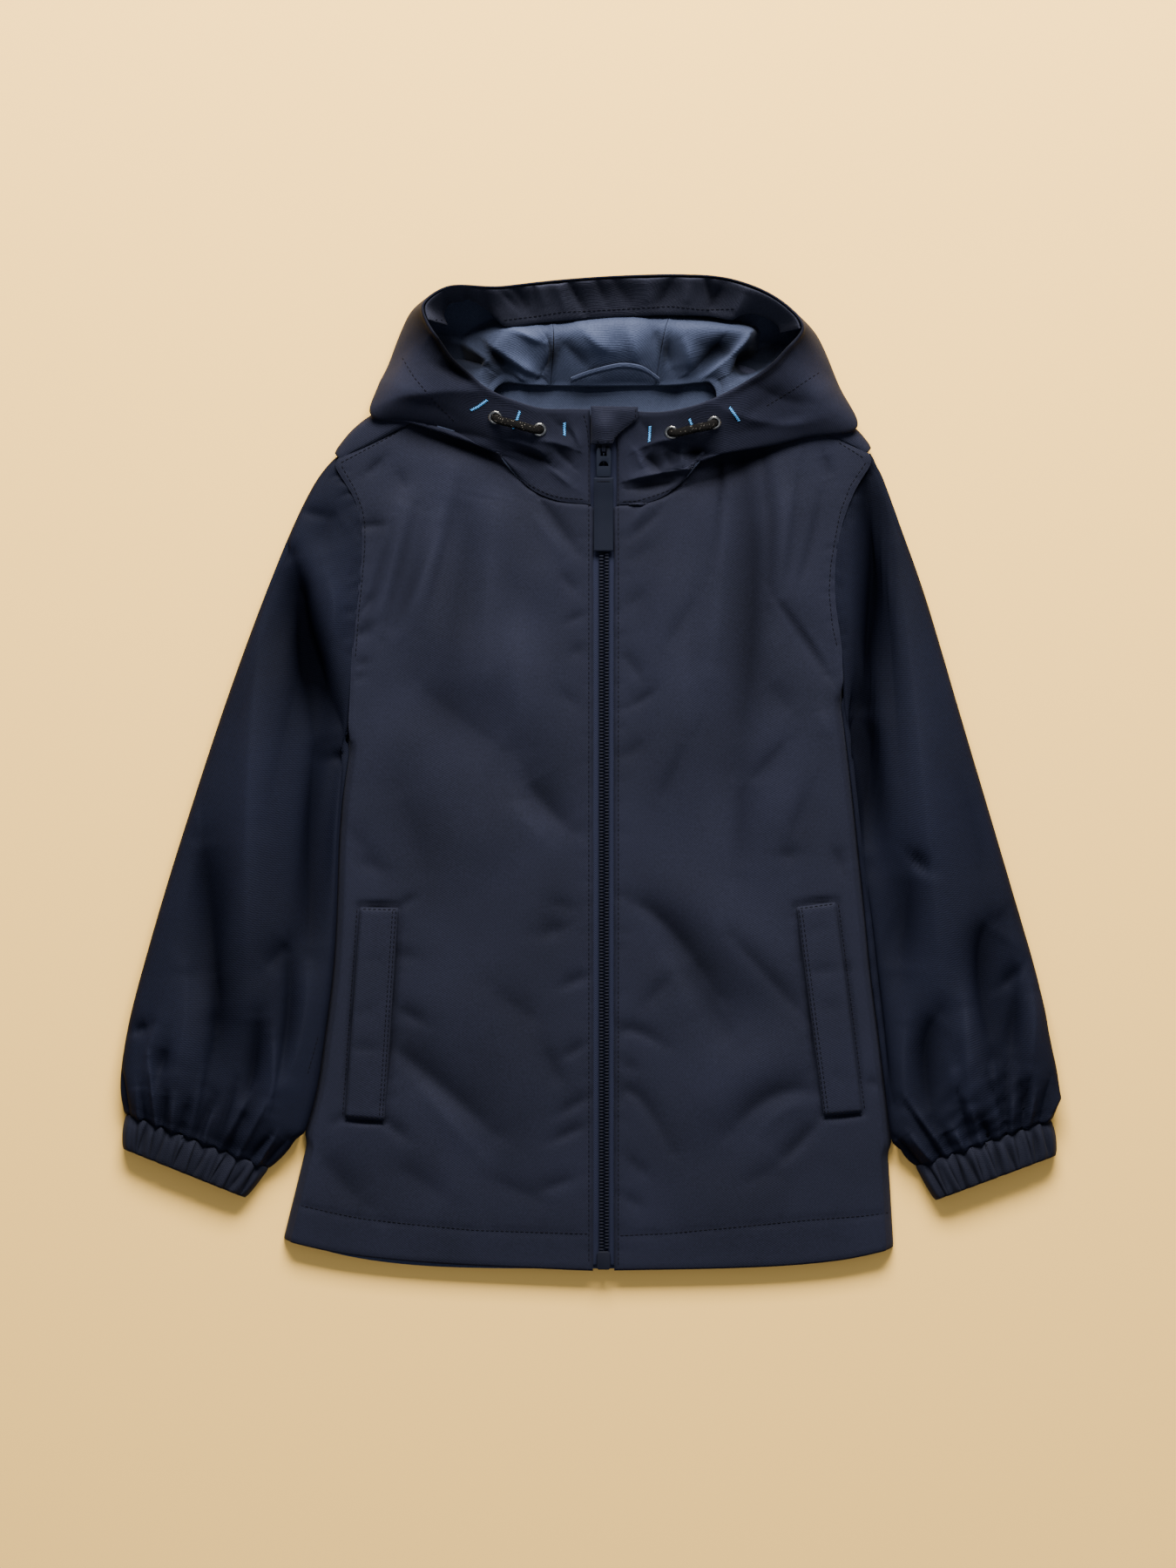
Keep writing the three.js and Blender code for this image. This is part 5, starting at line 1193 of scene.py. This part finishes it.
for node in PIECES:
    sheet = sheets[node]
    polygons = sheet.data.polygons
    two_sided = node in ("hood_centre", "back_panel") or node.startswith("hood_side")
    sheet.data.materials.append(CLOTHS.get(node, shell_cloth))
    if two_sided:
        sheet.data.materials.append(inside_cloth)
    map_grain(sheet.data, SLEEVE_TILT.get(node, 0))
    outer_faces = len(polygons)
    navy_inside = set(bands.get(node, []))
    if node.startswith("hood_side"):
        navy_inside.update(k for k, face in enumerate(polygons) if face.center.y < COLLAR_TOP * MM)
    add_wall(sheet, SHELL_WALL, 1 if two_sided else 0)
    for k in navy_inside:
        sheet.data.polygons[outer_faces + k].material_index = 0
    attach(sheet, "garment")
    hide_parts(node)
    width, length, area, held = CUTS[node]
    print(node, "triangles", sum(len(p.vertices) - 2 for p in sheet.data.polygons))

# %% [markdown]
# ## Zip tapes and the puller's tape
# Zip tape is a dense ribbed weave of polyester that is stiffer than the shell cloth. The two tapes
# lie under the fronts and carry the teeth. The puller is a loop of narrower tape below the slider,
# left plain, with one row of stitches across it. Its ribs run in a zigzag, which a sine wave over
# a sum of the two directions gives: a real rib is about 1 mm, so it is drawn at its own size.

# %% Woven tape
def woven_tape(name, hex_colour, hex_light, rib_mm):
    material, tree = new_material(name)
    place = add_node(tree, "TexCoord")
    axes = add_node(tree, "SeparateXYZ", Vector=place.outputs["Object"])
    slant = add_node(tree, "Math", {"operation": "PINGPONG"}, n0=axes.outputs["X"], n1=3 * rib_mm * MM)
    run = add_node(tree, "Math", {"operation": "ADD"}, n0=axes.outputs["Y"], n1=slant)
    turns = add_node(tree, "Math", {"operation": "MULTIPLY"}, n0=run, n1=2 * math.pi / (rib_mm * MM))
    ribs = add_node(tree, "Math", {"operation": "SINE"}, n0=turns)
    share = add_node(tree, "MapRange", Value=ribs, From_Min=-1.0, From_Max=1.0)
    colour = add_node(tree, "Mix", {"data_type": "RGBA"}, Factor=share,
                      n6=linear(hex_colour), n7=linear(hex_light))
    relief = add_node(tree, "Bump", Strength=0.5, Distance=0.15 * MM, Height=ribs)
    surface = add_node(tree, "BsdfPrincipled", Base_Color=colour.outputs[2], Roughness=0.72,
                       IOR=1.5, Specular_IOR_Level=0.1, Normal=relief)
    add_node(tree, "OutputMaterial", Surface=surface)
    return material


zip_tape_weave = woven_tape("woven_polyester_zip_tape", "#0f1220", "#1b1f33", 1.2)
puller_weave = woven_tape("woven_polyester_puller_tape", "#060914", "#0e1321", 1.0)
TAPES = {
    "zip_tape_left": (1.0, 0.0135, 0.520, "garment", zip_tape_weave),
    "zip_tape_right": (1.0, 0.0135, 0.520, "garment", zip_tape_weave),
    "zip_puller_tape": (1.2, 0.0120, 0.046, "zip_pull", puller_weave),
}
bpy.ops.object.select_all(action="DESELECT")
for node, (wall, width, length, body, weave) in TAPES.items():
    squares, clashes = side_of(node, wall, "up")
    tape = new_piece("cloth_" + node, squares)
    round_sheet(tape, 2)
    tape.data.materials.append(weave)
    add_wall(tape, wall, 0)
    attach(tape, body)
    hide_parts(node)
    sheets[node] = tape
    print(node, "clashes", clashes, "faces", len(tape.data.polygons))

# %% [markdown]
# ## Moulded plastic, plated metal and braided elastic
# The slider, its tab and the end box are moulded acetal: a satin skin with a faint grain from the
# mould, so a fine noise moves its roughness and its relief a little. The eyelets are steel rings
# plated with nickel: a warm grey mirror, dulled by fine scuffs. The cord is braided elastic: two
# slanting waves cross for its braid, about 1.3 mm apart as on the real cord, and pale flecks of
# its rubber show between the black yarns.

# %% Plastic
def moulded_plastic(name, hex_colour, roughness, gloss):
    material, tree = new_material(name)
    place = add_node(tree, "TexCoord")
    grain = add_node(tree, "TexNoise", Vector=place.outputs["Object"], Scale=2500.0, Detail=2.0)
    relief = add_node(tree, "Bump", Strength=0.3, Distance=0.03 * MM, Height=grain.outputs["Fac"])
    rough = add_node(tree, "MapRange", Value=grain.outputs["Fac"],
                     To_Min=roughness - 0.06, To_Max=roughness + 0.06)
    surface = add_node(tree, "BsdfPrincipled", Base_Color=linear(hex_colour), Roughness=rough,
                       IOR=1.48, Specular_IOR_Level=gloss, Normal=relief)
    add_node(tree, "OutputMaterial", Surface=surface)
    return material


zip_plastic = moulded_plastic("moulded_acetal_navy", "#090c18", 0.66, 0.12)
pull_plastic = moulded_plastic("moulded_acetal_pull_blue", "#080e1c", 0.5, 0.25)
print("plastics:", zip_plastic.name, pull_plastic.name)


# %% Nickel and elastic
def plated_nickel(name):
    material, tree = new_material(name)
    place = add_node(tree, "TexCoord")
    scuffs = add_node(tree, "TexNoise", Vector=place.outputs["Object"], Scale=1400.0, Detail=4.0)
    rough = add_node(tree, "MapRange", Value=scuffs.outputs["Fac"], To_Min=0.16, To_Max=0.34)
    relief = add_node(tree, "Bump", Strength=0.2, Distance=0.02 * MM, Height=scuffs.outputs["Fac"])
    surface = add_node(tree, "BsdfPrincipled", Base_Color=linear("#8f8e8b"), Metallic=1.0,
                       Roughness=rough, Normal=relief)
    add_node(tree, "OutputMaterial", Surface=surface)
    return material


def braided_elastic(name, braid_mm):
    material, tree = new_material(name)
    place = add_node(tree, "TexCoord")
    axes = add_node(tree, "SeparateXYZ", Vector=place.outputs["Object"])
    waves = []
    for slant in (1.6, -1.6):
        across = add_node(tree, "Math", {"operation": "MULTIPLY"}, n0=axes.outputs["Y"], n1=slant)
        run = add_node(tree, "Math", {"operation": "ADD"}, n0=axes.outputs["X"], n1=across)
        turns = add_node(tree, "Math", {"operation": "MULTIPLY"},
                         n0=run, n1=2 * math.pi / (braid_mm * MM))
        waves.append(add_node(tree, "Math", {"operation": "SINE"}, n0=turns))
    braid = add_node(tree, "Math", {"operation": "MAXIMUM"}, n0=waves[0], n1=waves[1])
    flecks = add_node(tree, "TexVoronoi", Vector=place.outputs["Object"], Scale=750.0)
    light = add_node(tree, "MapRange", Value=flecks.outputs["Distance"], From_Min=0.22, From_Max=0.1)
    colour = add_node(tree, "Mix", {"data_type": "RGBA"}, Factor=light,
                      n6=linear("#060505"), n7=linear("#6e6a63"))
    relief = add_node(tree, "Bump", Strength=0.7, Distance=0.3 * MM, Height=braid)
    surface = add_node(tree, "BsdfPrincipled", Base_Color=colour.outputs[2], Roughness=0.8,
                       Specular_IOR_Level=0.1, Normal=relief)
    add_node(tree, "OutputMaterial", Surface=surface)
    return material


nickel = plated_nickel("nickel_plated_steel")
elastic = braided_elastic("braided_elastic_black", 1.3)
print("small parts' materials:", nickel.name, elastic.name)

# %% [markdown]
# ## Slider, tab, end box, eyelets and elastic
# The solids of these small parts already have the right form, so nothing is modelled again. Each
# is copied, its flat faces are joined, its edges get a small bevel that catches the light, and it
# gets its own surface. The elastic is swollen a little, to the thickness that the cord shows.

# %% Finer copies of the small solids
def fine_copy(node, material, body, bevel_mm, angle=40, swell_mm=0.0):
    mesh = bmesh.new()
    mesh.from_mesh(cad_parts[node].data)
    bmesh.ops.remove_doubles(mesh, verts=mesh.verts, dist=1e-6)
    bmesh.ops.dissolve_limit(mesh, angle_limit=math.radians(1), verts=mesh.verts, edges=mesh.edges)
    mesh.normal_update()
    for vertex in mesh.verts:
        vertex.co += vertex.normal * swell_mm * MM
    piece = new_piece("fine_" + node, mesh)
    piece.data.materials.append(material)
    if bevel_mm:
        soft_edge = piece.modifiers.new("soft_edge", "BEVEL")
        soft_edge.width = bevel_mm * MM
        soft_edge.segments = 2
        soft_edge.limit_method = "ANGLE"
        soft_edge.angle_limit = math.radians(30)
        apply_modifier(piece, soft_edge)
    bpy.ops.object.select_all(action="DESELECT")
    piece.select_set(True)
    bpy.context.view_layer.objects.active = piece
    bpy.ops.object.shade_smooth_by_angle(angle=math.radians(angle))
    piece.select_set(False)
    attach(piece, body)
    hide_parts(node)
    print(piece.name, "faces", len(piece.data.polygons))


fine_copy("zip_slider", zip_plastic, "garment", 0.2)
fine_copy("zip_end_box", zip_plastic, "garment", 0.2)
fine_copy("zip_pull_tab", pull_plastic, "zip_pull", 0.15)
for name in ("eyelet_left_1", "eyelet_left_2", "eyelet_right_1", "eyelet_right_2"):
    fine_copy(name, nickel, "garment", 0, 80)
for name in ("elastic_left", "elastic_right"):
    fine_copy(name, elastic, "garment", 0, 80, 0.7)

# %% [markdown]
# ## The closed chain
# A closed zip shows two columns of small rounded ribs, each half a step past the other, with a
# dark slit between them. One rib is modelled and copied at the real step of 2 mm, each copy with
# its own points. The copies follow the height of the chain's solid, which climbs where the collar
# begins: a ray from above finds it.

# %% Copies of one shape
def copies_of(name, shape, places, material, body="garment"):
    points = read_points(shape.data)
    faces = [tuple(polygon.vertices) for polygon in shape.data.polygons]
    made, polygons = [], []
    for k, place in enumerate(places):
        turned = np.array(place)
        made.append(points @ turned[:3, :3].T + turned[:3, 3])
        polygons.extend(tuple(v + k * len(points) for v in face) for face in faces)
    data = bpy.data.meshes.new(name)
    data.from_pydata(np.concatenate(made).tolist(), [], polygons)
    data.materials.append(material)
    data.shade_smooth()
    piece = bpy.data.objects.new(name, data)
    bpy.context.collection.objects.link(piece)
    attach(piece, body)
    print(name, "copies", len(places), "faces", len(polygons))
    return piece


TOOTH_STEP = 2.0
CHAIN_LOW, CHAIN_HIGH = -289.4, 193.6
print("ribs in a column:", round((CHAIN_HIGH - CHAIN_LOW) / TOOTH_STEP))


# %% One rib, copied along the zip
def one_rib(width, depth, height):
    bpy.ops.object.select_all(action="DESELECT")
    bpy.ops.mesh.primitive_cube_add(size=1)
    rib = bpy.context.object
    rib.scale = (width * MM, depth * MM, height * MM)
    bpy.ops.object.transform_apply(scale=True)
    edges = rib.modifiers.new("round", "BEVEL")
    edges.width = 0.34 * MM
    edges.segments = 1
    apply_modifier(rib, edges)
    return rib


chain = bmesh.new()
chain.from_mesh(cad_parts["zip_chain"].data)
chain_top = BVHTree.FromBMesh(chain)
chain.free()
columns = {"zip_ribs_left": (-1.35, 2.8, 0.0), "zip_ribs_right": (2.0, 2.7, TOOTH_STEP / 2)}
for name, (offset, width, shift) in columns.items():
    rib = one_rib(width, 1.3, 1.9)
    places = []
    y = CHAIN_LOW + shift
    while y < CHAIN_HIGH:
        here, there = [chain_top.ray_cast(Vector((ZIP_X * MM, (y + d) * MM, 0.1)), Vector((0, 0, -1)))[0]
                       for d in (-0.3, 0.3)]
        slope = math.atan2(there.z - here.z, there.y - here.y)
        middle = (here + there) / 2 + Vector((offset * MM, 0, -0.9 * MM))
        places.append(Matrix.Translation(middle) @ Matrix.Rotation(slope, 4, "X"))
        y += TOOTH_STEP
    column = copies_of(name, rib, places, zip_plastic)
    bpy.data.objects.remove(rib)
    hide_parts("zip_chain")

# %% [markdown]
# ## Thread
# Sewing thread is spun polyester: matt, with a fine twist that shows as a change of shade. The
# seams are sewn in navy, the bar tacks in light blue.

# %% Thread
def spun_thread(name, hex_colour, hex_light):
    material, tree = new_material(name)
    place = add_node(tree, "TexCoord")
    twist = add_node(tree, "TexNoise", Vector=place.outputs["Object"], Scale=3000.0, Detail=2.0)
    colour = add_node(tree, "Mix", {"data_type": "RGBA"}, Factor=twist.outputs["Fac"],
                      n6=linear(hex_colour), n7=linear(hex_light))
    relief = add_node(tree, "Bump", Strength=0.5, Distance=0.05 * MM, Height=twist.outputs["Fac"])
    surface = add_node(tree, "BsdfPrincipled", Base_Color=colour.outputs[2], Roughness=0.85,
                       Specular_IOR_Level=0.08, Normal=relief)
    add_node(tree, "OutputMaterial", Surface=surface)
    return material


navy_thread = spun_thread("polyester_thread_navy", "#030308", "#080910")
blue_thread = spun_thread("polyester_thread_light_blue", "#2c84d6", "#68b4ea")
print("threads:", navy_thread.name, blue_thread.name)

# %% [markdown]
# ## Stitches
# Machine stitches are short lengths of thread that dive into the cloth, about 3 mm apart. One
# thread is modelled, and its copies are dropped from above onto the finished shells, so that
# they follow every crease. Where a line leaves the cloth or jumps to another layer, it skips.

# %% One stitch and its places
STITCH_STEP = 3.0


def one_stitch(length, width, height):
    bpy.ops.object.select_all(action="DESELECT")
    bpy.ops.mesh.primitive_uv_sphere_add(segments=6, ring_count=4, radius=0.5,
                                         rotation=(0, math.pi / 2, 0))
    stitch = bpy.context.object
    bpy.ops.object.transform_apply(rotation=True)
    stitch.scale = (length * MM, width * MM, height * MM)
    bpy.ops.object.transform_apply(scale=True)
    return stitch


depsgraph = bpy.context.evaluated_depsgraph_get()
trees = {node: BVHTree.FromObject(sheet, depsgraph) for node, sheet in sheets.items()}
print("sheets ready for stitching:", len(trees))


def drop(point, pieces):
    start = Vector((point[0] * MM, point[1] * MM, 0.1))
    hits = [trees[piece].ray_cast(start, Vector((0, 0, -1))) for piece in pieces]
    hits = [hit for hit in hits if hit[0] is not None]
    return max(hits, key=lambda hit: hit[0].z)[:2] if hits else None


def thread_frame(middle, run, normal):
    x = run.normalized()
    y = normal.cross(x).normalized()
    place = Matrix((x, y, x.cross(y))).transposed().to_4x4()
    place.translation = middle + x.cross(y) * 0.08 * MM
    return place


def stitch_places(line, pieces, step=STITCH_STEP):
    dropped = [drop(place, pieces) for place, _ in along_line(line, step)]
    places = []
    for here, there in zip(dropped, dropped[1:]):
        if here is None or there is None or (there[0] - here[0]).length > 2 * step * MM:
            continue
        places.append(thread_frame((here[0] + there[0]) / 2, there[0] - here[0], here[1] + there[1]))
    return places


# %% [markdown]
# ## Seams
# The hem, the edges beside the zip, the armholes, the shoulders, the neck, the pocket welts, the
# hood's channel and its facing are topstitched. Where the cloth already has grooves or puckers for
# them, the same lines are used again. Each line goes with the pieces that its stitches may land on.

# %% Seams
TL, TR, BR, BL = LEFT_POCKET
RIGHT_TL, RIGHT_TR, RIGHT_BR, RIGHT_BL = RIGHT_POCKET
SEAMS = {
    "hem": [(LEFT_HEM, ["front_left"]), (RIGHT_HEM, ["front_right"])],
    "placket": [(LEFT_PLACKET, ["front_left", "hood_side_left"]),
                (RIGHT_PLACKET, ["front_right", "hood_side_right"])],
    "armhole": [(LEFT_ARMHOLE, ["front_left"]), (RIGHT_ARMHOLE, ["front_right"])],
    "shoulder": [(LEFT_SHOULDER_SEAM, ["front_left"]), (RIGHT_SHOULDER_SEAM, ["front_right"])],
    "neck": [(beside(LEFT_NECK_SEAM, 1.6), ["hood_side_left", "front_left"]),
             (beside(RIGHT_NECK_SEAM, 1.6), ["hood_side_right", "front_right"])],
    "pocket_left": [(beside([TR, BR], -1.3), ["pocket_welt_left"]),
                    (beside([TR, BR], -3.2), ["pocket_welt_left"]),
                    (beside([TL, TR], -1.3), ["pocket_welt_left"]),
                    (beside([BR, BL], -1.3), ["pocket_welt_left"]),
                    (beside([TL, BL], -1.6), ["front_left"])],
    "pocket_right": [(beside([RIGHT_TL, RIGHT_BL], 1.3), ["pocket_welt_right"]),
                     (beside([RIGHT_TL, RIGHT_BL], 3.2), ["pocket_welt_right"]),
                     (beside([RIGHT_TL, RIGHT_TR], -1.3), ["pocket_welt_right"]),
                     (beside([RIGHT_BR, RIGHT_BL], -1.3), ["pocket_welt_right"]),
                     (beside([RIGHT_TR, RIGHT_BR], 1.6), ["front_right"])],
    "hood_outside": [([(-115, 254.7), (-107, 241), (-94, 225.7), (-82, 214)], ["hood_side_left"]),
                     ([(141, 245), (124, 233.5), (104.6, 221.8)], ["hood_side_right"])],
    "facing": [([(-96, 275.5), (-72, 275), (-54, 275), (-33, 277.5), (-17, 280), (23, 282),
                 (49, 283.6), (68, 281.5), (88, 282)], ["hood_facing"])],
    "chin_guard": [([(2, 201.8), (13.3, 201.8), (16, 205.6), (20.2, 209), (25.8, 213.4),
                     (27.8, 216.4), (27.8, 222)], ["chin_guard"])],
    "under_sleeve": [([(-164.7, -158), (-172.3, -185.3)], ["sleeve_left"])],
}
stitch = one_stitch(2.2, 0.62, 0.4)
for name, rows in SEAMS.items():
    places = [place for line, pieces in rows for place in stitch_places(line, pieces)]
    copies_of("stitches_" + name, stitch, places, navy_thread)
pull_row = stitch_places([(3.4, 177.8), (13.4, 177.8)], ["zip_puller_tape"], 2.0)
copies_of("stitches_puller", stitch, pull_row, navy_thread, "zip_pull")
bpy.data.objects.remove(stitch)

# %% [markdown]
# ## Bar tacks
# Six short tacks in light blue thread hold the drawcord's channel beside the eyelets. A bar tack
# is a dense zigzag. A curve with a depth would be one smooth worm, so the thread's copies lie
# almost across its line instead, each turned against the one before.

# %% Bar tacks in light blue
TACKS = [
    [(-72.1, 220.7), (-67.5, 223), (-62.5, 226.6)],
    [(-46.1, 209.6), (-42.4, 220.2)],
    [(-15.4, 213.3), (-15.4, 205.4)],
    [(36.6, 211.2), (36.0, 201.7)],
    [(60.4, 215.4), (63.6, 207.5)],
    [(84.8, 222.3), (90.6, 214.4)],
]
TACK_STEP = 0.55
TACK_TURN = 66

thread = one_stitch(2.0, 0.45, 0.45)
places = []
for line in TACKS:
    for k, (point, run) in enumerate(along_line(line, TACK_STEP)):
        landed = drop(point, ["hood_side_left", "hood_side_right", "front_left", "front_right"])
        if landed:
            turn = math.radians(TACK_TURN if k % 2 else -TACK_TURN)
            way = Vector((run.x * math.cos(turn) - run.y * math.sin(turn),
                          run.x * math.sin(turn) + run.y * math.cos(turn), 0))
            flat_way = way - landed[1] * way.dot(landed[1])
            places.append(thread_frame(landed[0] + landed[1] * 0.1 * MM, flat_way, landed[1]))
copies_of("bar_tacks", thread, places, blue_thread)
bpy.data.objects.remove(thread)

# %% Keep both boxes
look_box = [list(corner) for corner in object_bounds()]
print("visual box in mm:", [[round(v / MM, 1) for v in c] for c in look_box])
